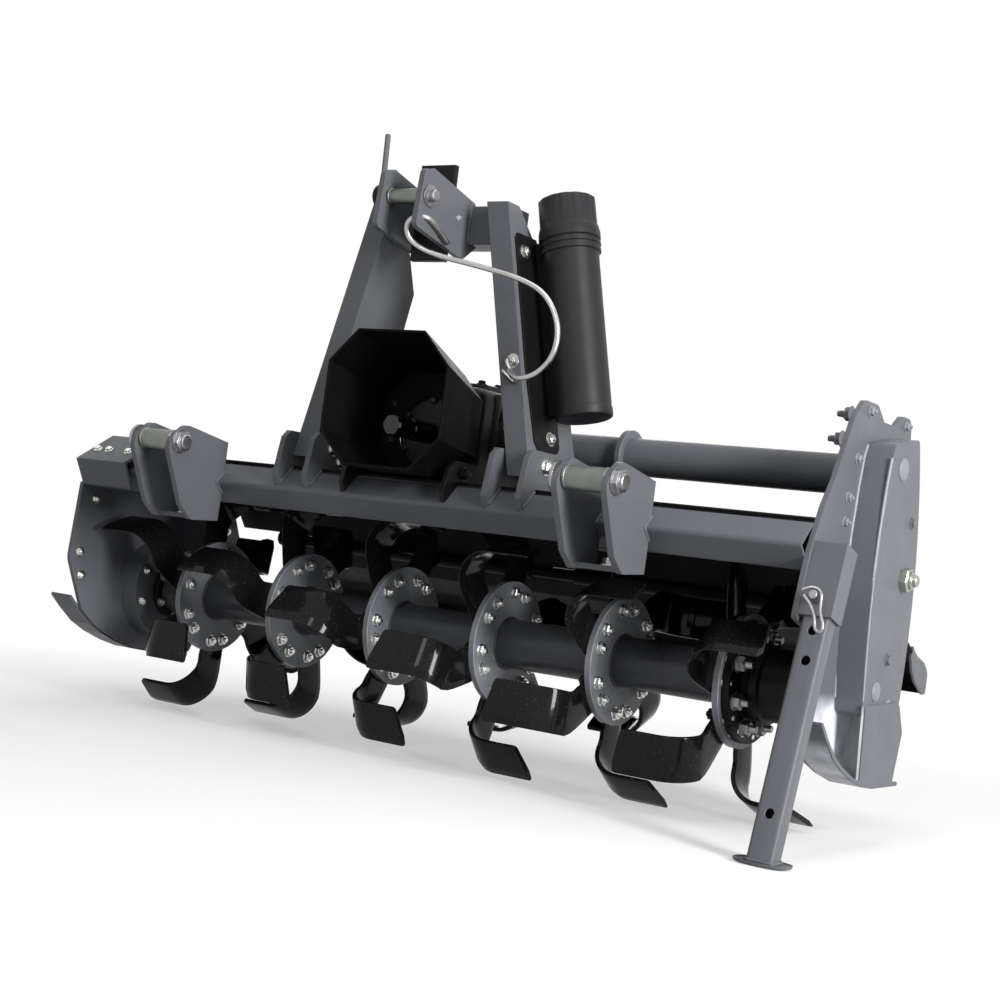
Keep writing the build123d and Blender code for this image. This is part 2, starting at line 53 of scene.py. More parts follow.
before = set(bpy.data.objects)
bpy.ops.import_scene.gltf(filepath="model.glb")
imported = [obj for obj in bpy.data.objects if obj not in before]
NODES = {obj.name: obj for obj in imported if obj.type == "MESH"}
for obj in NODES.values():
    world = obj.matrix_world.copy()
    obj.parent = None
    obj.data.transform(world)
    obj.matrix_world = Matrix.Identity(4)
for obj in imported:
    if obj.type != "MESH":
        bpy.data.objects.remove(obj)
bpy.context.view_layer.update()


def low(node):
    return Vector(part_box(node)[0])


def high(node):
    return Vector(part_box(node)[1])


def middle(node):
    return (low(node) + high(node)) / 2


# ---------------------------------------------------------------- places and sizes
MM = 0.001
RIGHT, LEFT, FORWARD, UP = (1, 0, 0), (-1, 0, 0), (0, -1, 0), (0, 0, 1)
BODY = "frame"
ROTOR = Vector((0, middle("rotor_tubes").y, middle("rotor_tubes").z))
MAST_X = middle("gearbox").x

# sizes of the frame's own pieces that their boxes don't give; a pair is y and z from the rotor's axis
LINK_SPAN = 0.824
LOWER_GAP = 0.070
TOP_GAP = 0.066
CLEVIS_PLATE = 0.010
SIDE_PLATE = 0.008
LOWER_PIN = (-0.310, 0.2595)
TOP_PIN = (-0.266, 0.674)
SHAFT_AXIS_Z = 0.321
POST_SLANT = 0.102
STAND_TOP = (-0.168, 0.207)
LEG_TILT = radians(16)
LEG_HOLES = (0.081, 0.123, 0.165, 0.372)
HINGES = (-0.520, 0.045, 0.610)
HINGE_HALF = 0.0455
FLANGES = 6
TINES_A_FLANGE = 6


def spot(x, y, z):
    """A place measured from the mast's middle plane and from the rotor's axis."""
    return Vector((MAST_X + x, ROTOR.y + y, ROTOR.z + z))


def beside_rotor(x, pair):
    """A place at an x of the frame, with its y and z from the rotor's axis."""
    return Vector((x, ROTOR.y + pair[0], ROTOR.z + pair[1]))


def on_rotor(x, radius, angle):
    """A place at an angle from upright, turned towards the front."""
    return Vector((x, ROTOR.y - radius * sin(angle), ROTOR.z + radius * cos(angle)))


def rotor_circle(x, radius, count, first_degrees):
    """Bolt places on a circle about the rotor's axis, facing right."""
    turns = [radians(first_degrees + 360 / count * step) for step in range(count)]
    return [(on_rotor(x, radius, turn), RIGHT) for turn in turns]


def flange_faces(tines):
    """The left and right face of every flange on the rotor, as x."""
    first, last = low("rotor_flanges").x, high("rotor_flanges").x
    thick = tines.flange_thickness
    pitch = (last - first - thick) / (FLANGES - 1)
    return [(first + pitch * step, first + pitch * step + thick) for step in range(FLANGES)]


def half_height(node):
    return (high(node).z - low(node).z) / 2


# ---------------------------------------------------------------- properties
class TillerFinish(PropertyGroup):
    # lighter and darker shares of this grey serve as painted light and painted shade on the left plate,
    # flanges, rotor tubes, weld beads, some bolts and bosses, and the skid channel
    frame_grey: FloatVectorProperty(
        name="Frame paint", description="Charcoal grey of the frame, plates and case",
        subtype="COLOR", size=3, default=(0.112, 0.117, 0.130))
    tine_black: FloatVectorProperty(
        name="Tine paint", description="Gloss black of the tines",
        subtype="COLOR", size=3, default=(0.0065, 0.0068, 0.0072))
    # the hood, tailboard and hinges take a darker share of this black as painted shade, and the shield one
    # that is partly painted shade
    guard_black: FloatVectorProperty(
        name="Guard paint", description="Black of the shield, hood inside and gearbox",
        subtype="COLOR", size=3, default=(0.009, 0.009, 0.0095))
    canister_black: FloatVectorProperty(
        name="Canister plastic", description="Matt black plastic of the document canister",
        subtype="COLOR", size=3, default=(0.020, 0.021, 0.023))
    zinc: FloatVectorProperty(
        name="Zinc", description="Zinc plating of bolts, pins and clips",
        subtype="COLOR", size=3, default=(0.46, 0.47, 0.45))


class TillerFasteners(PropertyGroup):
    flange_bolt_circle: FloatProperty(
        name="Flange bolt circle", description="Radius of the tine bolts on each flange",
        subtype="DISTANCE", unit="LENGTH", default=0.082)
    flange_bolt_size: FloatProperty(
        name="Flange bolt head", description="Half width across corners of a tine bolt's head",
        subtype="DISTANCE", unit="LENGTH", default=0.0095)
    frame_bolt_size: FloatProperty(
        name="Frame bolt head", description="Half width across corners of a frame bolt's head",
        subtype="DISTANCE", unit="LENGTH", default=0.0110)
    weld_radius: FloatProperty(
        name="Weld bead", description="Radius of the weld beads",
        subtype="DISTANCE", unit="LENGTH", default=0.0030)


class TillerTines(PropertyGroup):
    thickness: FloatProperty(
        name="Tine thickness", description="Thickness of a tine's flat steel",
        subtype="DISTANCE", unit="LENGTH", default=0.008)
    reach: FloatProperty(
        name="Reach", description="How far a blade reaches sideways from its shank's far face",
        subtype="DISTANCE", unit="LENGTH", default=0.123)
    blade_plane: FloatProperty(
        name="Blade plane", description="A blade's outer face, measured square to it from the rotor's axis",
        subtype="DISTANCE", unit="LENGTH", default=0.168)
    bend: FloatProperty(
        name="Bend", description="Outer radius of the bend from shank to blade",
        subtype="DISTANCE", unit="LENGTH", default=0.052)
    first_angle: FloatProperty(
        name="First tine",
        description="Angle of the first flange's first left-hand blade, forward from upright",
        subtype="ANGLE", default=radians(23.4))
    flange_turn: FloatProperty(
        name="Flange turn", description="How much further each flange is turned than the one before",
        subtype="ANGLE", default=radians(15))
    flange_thickness: FloatProperty(
        name="Flange thickness", description="Thickness of a rotor flange",
        subtype="DISTANCE", unit="LENGTH", default=0.010)


class TillerStage(PropertyGroup):
    camera_place: FloatVectorProperty(
        name="Camera place", description="Where the camera stands",
        subtype="TRANSLATION", size=3, default=(1.5705, -2.3243, 0.3467))
    camera_turn: FloatProperty(
        name="Camera turn", description="Turn of the view to the left of +Y",
        subtype="ANGLE", default=radians(33.426))
    camera_lift: FloatProperty(
        name="Camera lift", description="How far the view is lifted above level",
        subtype="ANGLE", default=radians(2.022))
    camera_roll: FloatProperty(
        name="Camera roll", description="Lean of the camera about its view",
        subtype="ANGLE", default=radians(7.256))
    lens: FloatProperty(
        name="Lens", description="Focal length in millimetres on a 36 mm sensor", default=60.03)


# ---------------------------------------------------------------- material helpers
def tinted(colour, share):
    return tuple(c * share for c in colour)


def shader_tree(name):
    material = bpy.data.materials.new(name)
    material.use_nodes = True
    tree = material.node_tree
    return material, tree, tree.nodes["Principled BSDF"]


def add_node(tree, kind, **settings):
    node = tree.nodes.new(kind)
    for key, value in settings.items():
        setattr(node, key, value)
    return node


def noise(tree, scale, detail=3.0, roughness=0.5):
    place = add_node(tree, "ShaderNodeTexCoord")
    texture = add_node(tree, "ShaderNodeTexNoise")
    texture.inputs["Scale"].default_value = scale
    texture.inputs["Detail"].default_value = detail
    texture.inputs["Roughness"].default_value = roughness
    tree.links.new(place.outputs["Object"], texture.inputs["Vector"])
    return texture.outputs["Fac"]


def ramp(tree, source, stops):
    node = add_node(tree, "ShaderNodeValToRGB")
    elements = node.color_ramp.elements
    while len(elements) < len(stops):
        elements.new(0.5)
    for element, (place, value) in zip(elements, stops):
        element.position = place
        element.color = (value, value, value, 1) if isinstance(value, float) else (*value, 1)
    tree.links.new(source, node.inputs["Fac"])
    return node.outputs["Color"]


def mix_colour(tree, factor, first, second, blend="MIX"):
    node = add_node(tree, "ShaderNodeMix", data_type="RGBA", blend_type=blend)
    for socket, value in ((node.inputs[0], factor), (node.inputs[6], first), (node.inputs[7], second)):
        if isinstance(value, bpy.types.NodeSocket):
            tree.links.new(value, socket)
        elif socket == node.inputs[0]:
            socket.default_value = value
        else:
            socket.default_value = (*value, 1)
    return node.outputs[2]


def scalar(tree, operation, first, second):
    node = add_node(tree, "ShaderNodeMath", operation=operation)
    for socket, value in ((node.inputs[0], first), (node.inputs[1], second)):
        if isinstance(value, bpy.types.NodeSocket):
            tree.links.new(value, socket)
        else:
            socket.default_value = value
    return node.outputs[0]


def edge_mask(tree, radius):
    """1 on the edges of a hard-edged piece, 0 on its flats; also gives the rounded normal."""
    bevel = add_node(tree, "ShaderNodeBevel", samples=4)
    bevel.inputs["Radius"].default_value = radius
    flat = add_node(tree, "ShaderNodeNewGeometry")
    dot = add_node(tree, "ShaderNodeVectorMath", operation="DOT_PRODUCT")
    tree.links.new(bevel.outputs["Normal"], dot.inputs[0])
    tree.links.new(flat.outputs["Normal"], dot.inputs[1])
    sharp, flat_from = 0.86, 0.995
    mask = ramp(tree, dot.outputs["Value"], [(sharp, 1.0), (flat_from, 0.0)])
    return mask, bevel.outputs["Normal"]


def bump(tree, height, strength, distance, normal=None):
    node = add_node(tree, "ShaderNodeBump")
    node.inputs["Strength"].default_value = strength
    node.inputs["Distance"].default_value = distance
    tree.links.new(height, node.inputs["Height"])
    if normal is not None:
        tree.links.new(normal, node.inputs["Normal"])
    return node.outputs["Normal"]


def inside(tree, corner_low, corner_high, fade):
    """1 inside a box of the frame, fading to 0 over a distance along each axis."""
    place = add_node(tree, "ShaderNodeTexCoord")
    split = add_node(tree, "ShaderNodeSeparateXYZ")
    tree.links.new(place.outputs["Object"], split.inputs[0])
    result = None
    for axis in range(3):
        for edge, way in ((corner_low[axis], 1), (corner_high[axis], -1)):
            depth = add_node(tree, "ShaderNodeMapRange", interpolation_type="SMOOTHSTEP")
            tree.links.new(split.outputs[axis], depth.inputs["Value"])
            depth.inputs["From Min"].default_value = edge
            depth.inputs["From Max"].default_value = edge + way * fade[axis]
            share = depth.outputs["Result"]
            result = share if result is None else scalar(tree, "MULTIPLY", result, share)
    return result


# pale colour of the skid channel: partly bare metal rubbed by soil, partly painted light where the channel
# lies in shade
SCOURED_AND_LIT = (0.68, 0.69, 0.73)
DUST = 0.32
SPATTER = (0.42, 0.42, 0.40)


def paint(name, colour, roughness, edge=1.5 * MM, edge_light=1.25, dust=0.10, coat=0.0, peel=0.10,
          shine=0.22, specks=0.0, scour_and_light=None):
    """Sprayed paint: orange peel, faint dust and run marks, and a thin bright line on edges, partly wear and
    partly painted highlight.

    specks is the strength of dried spatter; the last argument is the box where the colour is lightened,
    partly as bare metal rubbed by soil and partly as painted light.
    """
    material, tree, shader = shader_tree(name)
    body = mix_colour(tree, noise(tree, 9.0, 5.0, 0.6), tinted(colour, 0.86), tinted(colour, 1.08))
    film = ramp(tree, noise(tree, 3.2, 6.0, 0.62), [(0.50, 0.0), (0.78, dust)])
    body = mix_colour(tree, film, body, tuple(c * 0.7 + 0.3 * DUST for c in colour))
    if specks:
        spatter = ramp(tree, noise(tree, 330.0, 2.0, 0.4), [(0.66, 0.0), (0.72, specks)])
        body = mix_colour(tree, spatter, body, SPATTER)
    # inside the skid box the colour is lightened, partly as soil-rubbed bare metal and partly as painted
    # light
    if scour_and_light:
        patchy = ramp(tree, noise(tree, 22.0, 6.0), [(0.30, 0.45), (0.60, 1.0)])
        rubbed_and_lit = scalar(tree, "MULTIPLY", inside(tree, *scour_and_light), patchy)
        body = mix_colour(tree, rubbed_and_lit, body, SCOURED_AND_LIT)
    # a lighter line along the edges, partly worn paint and partly a painted highlight; edge_light sets how
    # much lighter
    mask, rounded = edge_mask(tree, edge)
    worn_and_highlit = tuple(min(1.0, c) for c in tinted(colour, edge_light))
    ragged = ramp(tree, noise(tree, 60.0, 4.0), [(0.30, 0.35), (0.62, 1.0)])
    body = mix_colour(tree, scalar(tree, "MULTIPLY", mask, ragged), body, worn_and_highlit)
    tree.links.new(body, shader.inputs["Base Color"])
    gloss = ramp(tree, noise(tree, 24.0, 4.0), [(0.3, roughness - 0.05), (0.75, roughness + 0.09)])
    tree.links.new(gloss, shader.inputs["Roughness"])
    tree.links.new(bump(tree, noise(tree, 420.0, 2.0), peel, 0.4 * MM, rounded), shader.inputs["Normal"])
    shader.inputs["Specular IOR Level"].default_value = shine
    if coat:
        shader.inputs["Coat Weight"].default_value = coat
        shader.inputs["Coat Roughness"].default_value = 0.06
    return material


def plated(name, colour, roughness, stain=0.3):
    """Zinc plate or bare steel: metal with faint stains and turning marks."""
    material, tree, shader = shader_tree(name)
    stained = ramp(tree, noise(tree, 34.0, 5.0), [(0.35, 0.0), (0.72, stain)])
    tree.links.new(mix_colour(tree, stained, colour, tinted(colour, 0.62)), shader.inputs["Base Color"])
    shader.inputs["Metallic"].default_value = 1.0
    gloss = ramp(tree, noise(tree, 90.0, 3.0), [(0.3, roughness - 0.06), (0.75, roughness + 0.12)])
    tree.links.new(gloss, shader.inputs["Roughness"])
    _, rounded = edge_mask(tree, 0.8 * MM)
    tree.links.new(bump(tree, noise(tree, 240.0, 3.0), 0.12, 0.3 * MM, rounded), shader.inputs["Normal"])
    return material


def moulded(name, colour):
    """Matt moulded plastic with a fine grain."""
    material, tree, shader = shader_tree(name)
    body = mix_colour(tree, noise(tree, 14.0, 4.0), tinted(colour, 0.85), tinted(colour, 1.3))
    tree.links.new(body, shader.inputs["Base Color"])
    gloss = ramp(tree, noise(tree, 30.0, 3.0), [(0.3, 0.44), (0.75, 0.56)])
    tree.links.new(gloss, shader.inputs["Roughness"])
    shader.inputs["Specular IOR Level"].default_value = 0.25
    tree.links.new(bump(tree, noise(tree, 900.0, 2.0), 0.25, 0.2 * MM), shader.inputs["Normal"])
    return material


MATERIALS = {}


def skid_channel():
    """The box in which the right plate and its skid are lightened, partly as bare metal rubbed by soil and
    partly as painted light in the channel's shade, and how softly it ends along each axis.
    """
    corner_low = (high("side_plate_right").x - 0.5 * MM, ROTOR.y - 0.185, -0.04)
    corner_high = (high("chain_case").x + 4 * MM, ROTOR.y + 0.20, ROTOR.z + 0.008)
    return corner_low, corner_high, (0.4 * MM, 0.035, 0.030)


def make_materials(finish):
    grey = tinted(finish.frame_grey, 0.93)
    black = tuple(finish.guard_black)
    MATERIALS.update({
        "frame": paint("Frame paint", grey, 0.40),
        "case": paint("Chain housing paint", tinted(grey, 1.10), 0.42),
        # weld beads: the grey lightened 2.5 times as a painted highlight along the seams
        "bead": paint("Weld bead paint lightened as painted highlight", tinted(grey, 2.5), 0.26, edge_light=1.0),
        # left plate: the grey lightened as painted light, for a side the lamps leave in shade
        "left": paint("Left plate paint lightened as painted light", tinted(grey, 1.15), 0.40),
        # the grey lightened 1.9 times as a painted highlight, used on the plate bolts and the case's bosses
        "highlit_grey": paint("Grey lightened as painted highlight", tinted(grey, 1.9), 0.40),
        # right plate and skids: lightened in the skid channel, partly as bare metal and partly as painted
        # light
        "scoured_and_lit": paint("Scoured paint with painted light", grey, 0.40, scour_and_light=skid_channel()),
        # rotor tubes: the grey darkened as painted shade from the hood above them; the dust and spatter are
        # real
        "rotor": paint("Rotor paint darkened as painted shade", tinted(grey, 0.64), 0.30, dust=0.22, edge_light=1.8, specks=0.06),
        # flanges: the grey lightened as painted light, and the strong edge_light paints a highlight on their
        # rims
        "flange": paint("Flange paint lightened as painted light", tinted(grey, 2.4), 0.28, edge=2.2 * MM, dust=0.12,
                        edge_light=3.2, peel=0.2),
        # shield: its black darkened further, partly its own colour and partly painted shade inside it; the
        # strong edge_light paints a highlight along its edges
        "shield": paint("Shield paint", tinted(black, 0.30), 0.55, edge_light=6.0, dust=0.003, shine=0.05),
        "guard": paint("Guard paint", tinted(black, 0.5), 0.46, edge_light=2.2, dust=0.008, shine=0.16),
        "cast": paint("Cast iron paint", black, 0.40, edge_light=1.8, dust=0.03, peel=0.35),
        # hood, tailboard and hinges: black that stands in for the shade under the hood, as painted shade
        "hood": paint("Hood black as painted shade", tinted(black, 0.45), 0.55, edge_light=1.6, dust=0.004, shine=0.10),
        "tine": paint("Tine paint", tuple(finish.tine_black), 0.16, edge=1.6 * MM, edge_light=4.0,
                      dust=0.002, coat=0.22, peel=0.12, shine=0.04, specks=0.07),
        "canister": moulded("Canister plastic", tinted(finish.canister_black, 0.45)),
        "zinc": plated("Zinc plate", tuple(finish.zinc), 0.34),
        "bolt": plated("Bolt zinc", tinted(finish.zinc, 1.7), 0.27, stain=0.5),
        "worn_bolt": plated("Worn bolt", (0.36, 0.36, 0.35), 0.40, stain=0.8),
        "pin": plated("Pin steel", (0.34, 0.34, 0.35), 0.36, stain=0.5),
        "oiled": plated("Oiled steel", (0.045, 0.045, 0.045), 0.38, stain=0.5),
        "clip": plated("Spring wire", (0.46, 0.46, 0.45), 0.32, stain=0.4),
        "bush": plated("Bush steel", (0.20, 0.21, 0.19), 0.42, stain=0.5),
        "tensioner": plated("Tensioner plate", (0.42, 0.46, 0.38), 0.32, stain=0.4),
        "dark_bolt": paint("Painted bolt", tinted(grey, 1.1), 0.32, edge=0.8 * MM),
        "black_bolt": paint("Black bolt", black, 0.30, edge=0.8 * MM, edge_light=3.0, dust=0.03),
    })


# ---------------------------------------------------------------- mesh helpers
def add_object(name, mesh, material, body):
    piece = bpy.data.objects.new(name, mesh)
    bpy.context.scene.collection.objects.link(piece)
    if material:
        mesh.materials.clear()
        mesh.materials.append(MATERIALS[material])
    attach(piece, body)
    return piece


def from_bmesh(name, shape, material, body, smooth):
    """A piece from a closed mesh; edges sharper than smooth stay hard."""
    bmesh.ops.remove_doubles(shape, verts=shape.verts, dist=1e-6)
    bmesh.ops.recalc_face_normals(shape, faces=shape.faces)
    mesh = bpy.data.meshes.new(name)
    shape.to_mesh(mesh)
    shape.free()
    piece = add_object(name, mesh, material, body)
    shade_by_angle(mesh, smooth)
    return piece


def shade_by_angle(mesh, angle):
    """Smooth shading, with the edges sharper than an angle kept hard."""
    shape = bmesh.new()
    shape.from_mesh(mesh)
    for face in shape.faces:
        face.smooth = True
    for edge in shape.edges:
        if len(edge.link_faces) != 2 or edge.calc_face_angle(0) > angle:
            edge.smooth = False
    shape.to_mesh(mesh)
    shape.free()


def plain_mesh(holder):
    """The mesh that an object's modifiers or bevel give."""
    bpy.context.view_layer.update()
    return bpy.data.meshes.new_from_object(holder.evaluated_get(bpy.context.evaluated_depsgraph_get()))


def join_rings(shape, rings):
    """Faces from each ring of corners to the next."""
    for one, two in zip(rings, rings[1:]):
        for step in range(len(one)):
            after = (step + 1) % len(one)
            shape.faces.new((one[step], one[after], two[after], two[step]))


def close_rings(shape, rings):
    """Joins rings of corners and closes both ends."""
    join_rings(shape, rings)
    shape.faces.new(list(reversed(rings[0])))
    shape.faces.new(rings[-1])


def lathe(shape, profile, start, axis, steps=48, ribs=None):
    """Adds a turned form: its profile is (distance along the axis, radius) pairs.

    ribs gives a count, a depth and the distance below which there are none.
    """
    core, sharpness = 4 * MM, 0.35
    axis = Vector(axis).normalized()
    turn = axis.to_track_quat("Z", "Y")
    rings = []
    for along, radius in profile:
        ring = []
        for step in range(steps):
            angle = 2 * pi * step / steps
            reach = radius
            if ribs and along > ribs[2] and radius > core + ribs[1]:
                reach -= ribs[1] * (1 - abs(cos(angle * ribs[0] / 2)) ** sharpness)
            offset = turn @ Vector((reach * cos(angle), reach * sin(angle), along))
            ring.append(shape.verts.new(Vector(start) + offset))
        rings.append(ring)
    close_rings(shape, rings)


def hexagon(shape, start, radius, height):
    """A nut along +X with chamfered corners."""
    rings = []
    for along, share in ((0.0, 1.0), (height * 0.85, 1.0), (height, 0.86)):
        ring = []
        for step in range(6):
            angle = radians(60 * step + 12)
            ring.append(shape.verts.new((start[0] + along, start[1] + radius * share * cos(angle),
                                         start[2] + radius * share * sin(angle))))
        rings.append(ring)
    close_rings(shape, rings)


def block(shape, corner_low, corner_high, bevel=0.0, segments=3):
    """Adds a box with rounded edges."""
    made = bmesh.ops.create_cube(shape, size=1.0)
    size = Vector(corner_high) - Vector(corner_low)
    centre = (Vector(corner_high) + Vector(corner_low)) / 2
    for vertex in made["verts"]:
        vertex.co = Vector((vertex.co.x * size.x, vertex.co.y * size.y, vertex.co.z * size.z)) + centre
    if bevel:
        edges = list({edge for vertex in made["verts"] for edge in vertex.link_edges})
        bmesh.ops.bevel(shape, geom=edges, offset=bevel, segments=segments, affect="EDGES", profile=0.5)


def rounded_ring(width, depth, corner, steps=4):
    """Corners of a rounded rectangle, counterclockwise."""
    ring = []
    across, along = width / 2 - corner, depth / 2 - corner
    for quarter, (sx, sy) in enumerate(((1, 1), (-1, 1), (-1, -1), (1, -1))):
        for step in range(steps + 1):
            angle = radians(90 * quarter + 90 * step / steps)
            ring.append((sx * across + corner * cos(angle), sy * along + corner * sin(angle)))
    return ring


def circle_run(centre, radius, steps=40):
    """A closed ring of points about +X, for a weld bead."""
    run = []
    for step in range(steps + 1):
        angle = 2 * pi * step / steps
        run.append(Vector(centre) + Vector((0, radius * cos(angle), radius * sin(angle))))
    return run


def rod(name, points, radius, material, sides):
    """A bent round wire through given points, as a plain mesh."""
    curve = bpy.data.curves.new(name, "CURVE")
    curve.dimensions = "3D"
    curve.bevel_depth = radius
    curve.bevel_resolution = sides // 4
    curve.use_fill_caps = True
    spline = curve.splines.new("NURBS")
    spline.points.add(len(points) - 1)
    for control, point in zip(spline.points, points):
        control.co = (*point, 1)
    spline.order_u = 3
    spline.use_endpoint_u = True
    spline.resolution_u = 6
    holder = bpy.data.objects.new(name + "_curve", curve)
    bpy.context.scene.collection.objects.link(holder)
    mesh = plain_mesh(holder)
    bpy.data.objects.remove(holder)
    bpy.data.curves.remove(curve)
    mesh.name = name
    piece = add_object(name, mesh, material, BODY)
    shade_by_angle(mesh, radians(40))
    return piece


def cut(name, shape, cutter, material, body, smooth):
    """A mesh with the forms of another cut out of it."""
    holders = []
    for label, form in ((name, shape), (name + "_cutter", cutter)):
        bmesh.ops.recalc_face_normals(form, faces=form.faces)
        mesh = bpy.data.meshes.new(label)
        form.to_mesh(mesh)
        form.free()
        holder = bpy.data.objects.new(label, mesh)
        bpy.context.scene.collection.objects.link(holder)
        holders.append(holder)
    modifier = holders[0].modifiers.new("Cut", "BOOLEAN")
    modifier.object = holders[1]
    modifier.operation = "DIFFERENCE"
    modifier.solver = "EXACT"
    mesh = plain_mesh(holders[0])
    for holder in holders:
        bpy.data.objects.remove(holder)
    mesh.name = name
    piece = add_object(name, mesh, material, body)
    shade_by_angle(mesh, smooth)
    return piece


# ---------------------------------------------------------------- geometry nodes
def group_socket(tree, name, kind, default=None):
    socket = tree.interface.new_socket(name=name, in_out="INPUT", socket_type=kind)
    if default is not None:
        socket.default_value = default
    return socket


def gn(tree, kind, links=None, **settings):
    """Adds a geometry node; links gives its inputs by name or place, as sockets or values."""
    node = tree.nodes.new(kind)
    for key, value in settings.items():
        setattr(node, key, value)
    for key, value in (links or {}).items():
        socket = node.inputs[key]
        if isinstance(value, bpy.types.NodeSocket):
            tree.links.new(value, socket)
        else:
            socket.default_value = value
    return node


def gn_math(tree, operation, *values):
    """A Math node's result, from sockets or plain numbers."""
    return gn(tree, "ShaderNodeMath", dict(enumerate(values)), operation=operation).outputs[0]


def bolt_tree():
    """Hex bolts on points: washer, chamfered head and stud, turned to each point's facing."""
    tree = bpy.data.node_groups.new("Hex bolts on points", "GeometryNodeTree")
    tree.interface.new_socket(name="Points", in_out="INPUT", socket_type="NodeSocketGeometry")
    for name, default in (("Head radius", 0.011), ("Head height", 0.008), ("Washer radius", 0.015),
                          ("Washer height", 0.002), ("Stud radius", 0.006), ("Stud length", 0.0)):
        group_socket(tree, name, "NodeSocketFloat", default)
    group_socket(tree, "Material", "NodeSocketMaterial")
    tree.interface.new_socket(name="Bolts", in_out="OUTPUT", socket_type="NodeSocketGeometry")
    given = tree.nodes.new("NodeGroupInput").outputs
    result = tree.nodes.new("NodeGroupOutput")

    def cylinder(radius, top, depth, base, sides):
        cone = gn(tree, "GeometryNodeMeshCone",
                  {"Vertices": sides, "Radius Top": top, "Radius Bottom": radius, "Depth": depth})
        shift = gn(tree, "ShaderNodeCombineXYZ", {"Z": base})
        return gn(tree, "GeometryNodeTransform",
                  {"Geometry": cone.outputs["Mesh"], "Translation": shift.outputs[0]}).outputs[0]

    washer, head, stud = given["Washer radius"], given["Head radius"], given["Stud radius"]
    washer_top, head_height = given["Washer height"], given["Head height"]
    straight = gn_math(tree, "MULTIPLY", head_height, 0.8)
    chamfer = gn_math(tree, "MULTIPLY", head_height, 0.2)
    parts = [
        cylinder(washer, washer, washer_top, 0.0, 20),
        cylinder(head, head, straight, washer_top, 6),
        cylinder(head, gn_math(tree, "MULTIPLY", head, 0.80), chamfer,
                 gn_math(tree, "ADD", washer_top, straight), 6),
        cylinder(stud, gn_math(tree, "MULTIPLY", stud, 0.8),
                 gn_math(tree, "ADD", given["Stud length"], 0.2 * MM),
                 gn_math(tree, "ADD", washer_top, head_height), 12),
    ]
    join = gn(tree, "GeometryNodeJoinGeometry")
    for part in parts:
        tree.links.new(part, join.inputs[0])
    facing = gn(tree, "GeometryNodeInputNamedAttribute", {"Name": "facing"}, data_type="FLOAT_VECTOR")
    turn = gn(tree, "FunctionNodeAlignRotationToVector", {"Vector": facing.outputs[0]}, axis="Z")
    spread = gn(tree, "GeometryNodeInstanceOnPoints",
                {"Points": given["Points"], "Instance": join.outputs[0], "Rotation": turn.outputs[0]})
    spin = gn(tree, "FunctionNodeRandomValue", {"Max": 1.047, "Seed": 7}, data_type="FLOAT")
    about = gn(tree, "ShaderNodeCombineXYZ", {"Z": spin.outputs[1]})
    turned = gn(tree, "GeometryNodeRotateInstances",
                {"Instances": spread.outputs[0], "Rotation": about.outputs[0]})
    real = gn(tree, "GeometryNodeRealizeInstances", {0: turned.outputs[0]})
    finish = gn(tree, "GeometryNodeSetMaterial", {"Geometry": real.outputs[0], "Material": given["Material"]})
    tree.links.new(finish.outputs[0], result.inputs[0])
    return tree


def weld_tree():
    """A weld bead along edges: a tube whose thickness ripples along its length."""
    tree = bpy.data.node_groups.new("Weld bead along edges", "GeometryNodeTree")
    tree.interface.new_socket(name="Edges", in_out="INPUT", socket_type="NodeSocketGeometry")
    group_socket(tree, "Bead radius", "NodeSocketFloat", 0.003)
    group_socket(tree, "Ripple length", "NodeSocketFloat", 0.0045)
    group_socket(tree, "Material", "NodeSocketMaterial")
    tree.interface.new_socket(name="Bead", in_out="OUTPUT", socket_type="NodeSocketGeometry")
    given = tree.nodes.new("NodeGroupInput").outputs
    result = tree.nodes.new("NodeGroupOutput")
    line = gn(tree, "GeometryNodeMeshToCurve", {"Mesh": given["Edges"]})
    step = gn_math(tree, "DIVIDE", given["Ripple length"], 3.0)
    even = gn(tree, "GeometryNodeResampleCurve", {"Curve": line.outputs[0], "Length": step}, mode="LENGTH")
    place = gn(tree, "GeometryNodeSplineParameter")
    phase = gn_math(tree, "DIVIDE", place.outputs["Length"], given["Ripple length"])
    wave = gn_math(tree, "SINE", gn_math(tree, "MULTIPLY", phase, pi))
    ripple = gn_math(tree, "MULTIPLY_ADD", gn_math(tree, "ABSOLUTE", wave), 0.22, 0.62)
    uneven = gn(tree, "ShaderNodeTexNoise", {"Scale": 55.0})
    wander = gn_math(tree, "MULTIPLY", uneven.outputs[0], 0.5)
    share = gn_math(tree, "ADD", ripple, wander)
    radius = gn_math(tree, "MULTIPLY", share, given["Bead radius"])
    sized = gn(tree, "GeometryNodeSetCurveRadius", {"Curve": even.outputs[0], "Radius": radius})
    ring = gn(tree, "GeometryNodeCurvePrimitiveCircle", {"Resolution": 8, "Radius": 1.0})
    tube = gn(tree, "GeometryNodeCurveToMesh",
              {"Curve": sized.outputs[0], "Profile Curve": ring.outputs[0], "Fill Caps": True})
    if "Scale" in tube.inputs:
        reach = gn(tree, "GeometryNodeInputNamedAttribute", {"Name": "radius"}, data_type="FLOAT")
        tree.links.new(reach.outputs[0], tube.inputs["Scale"])
    finish = gn(tree, "GeometryNodeSetMaterial", {"Geometry": tube.outputs[0], "Material": given["Material"]})
    tree.links.new(finish.outputs[0], result.inputs[0])
    return tree


TREES = {}


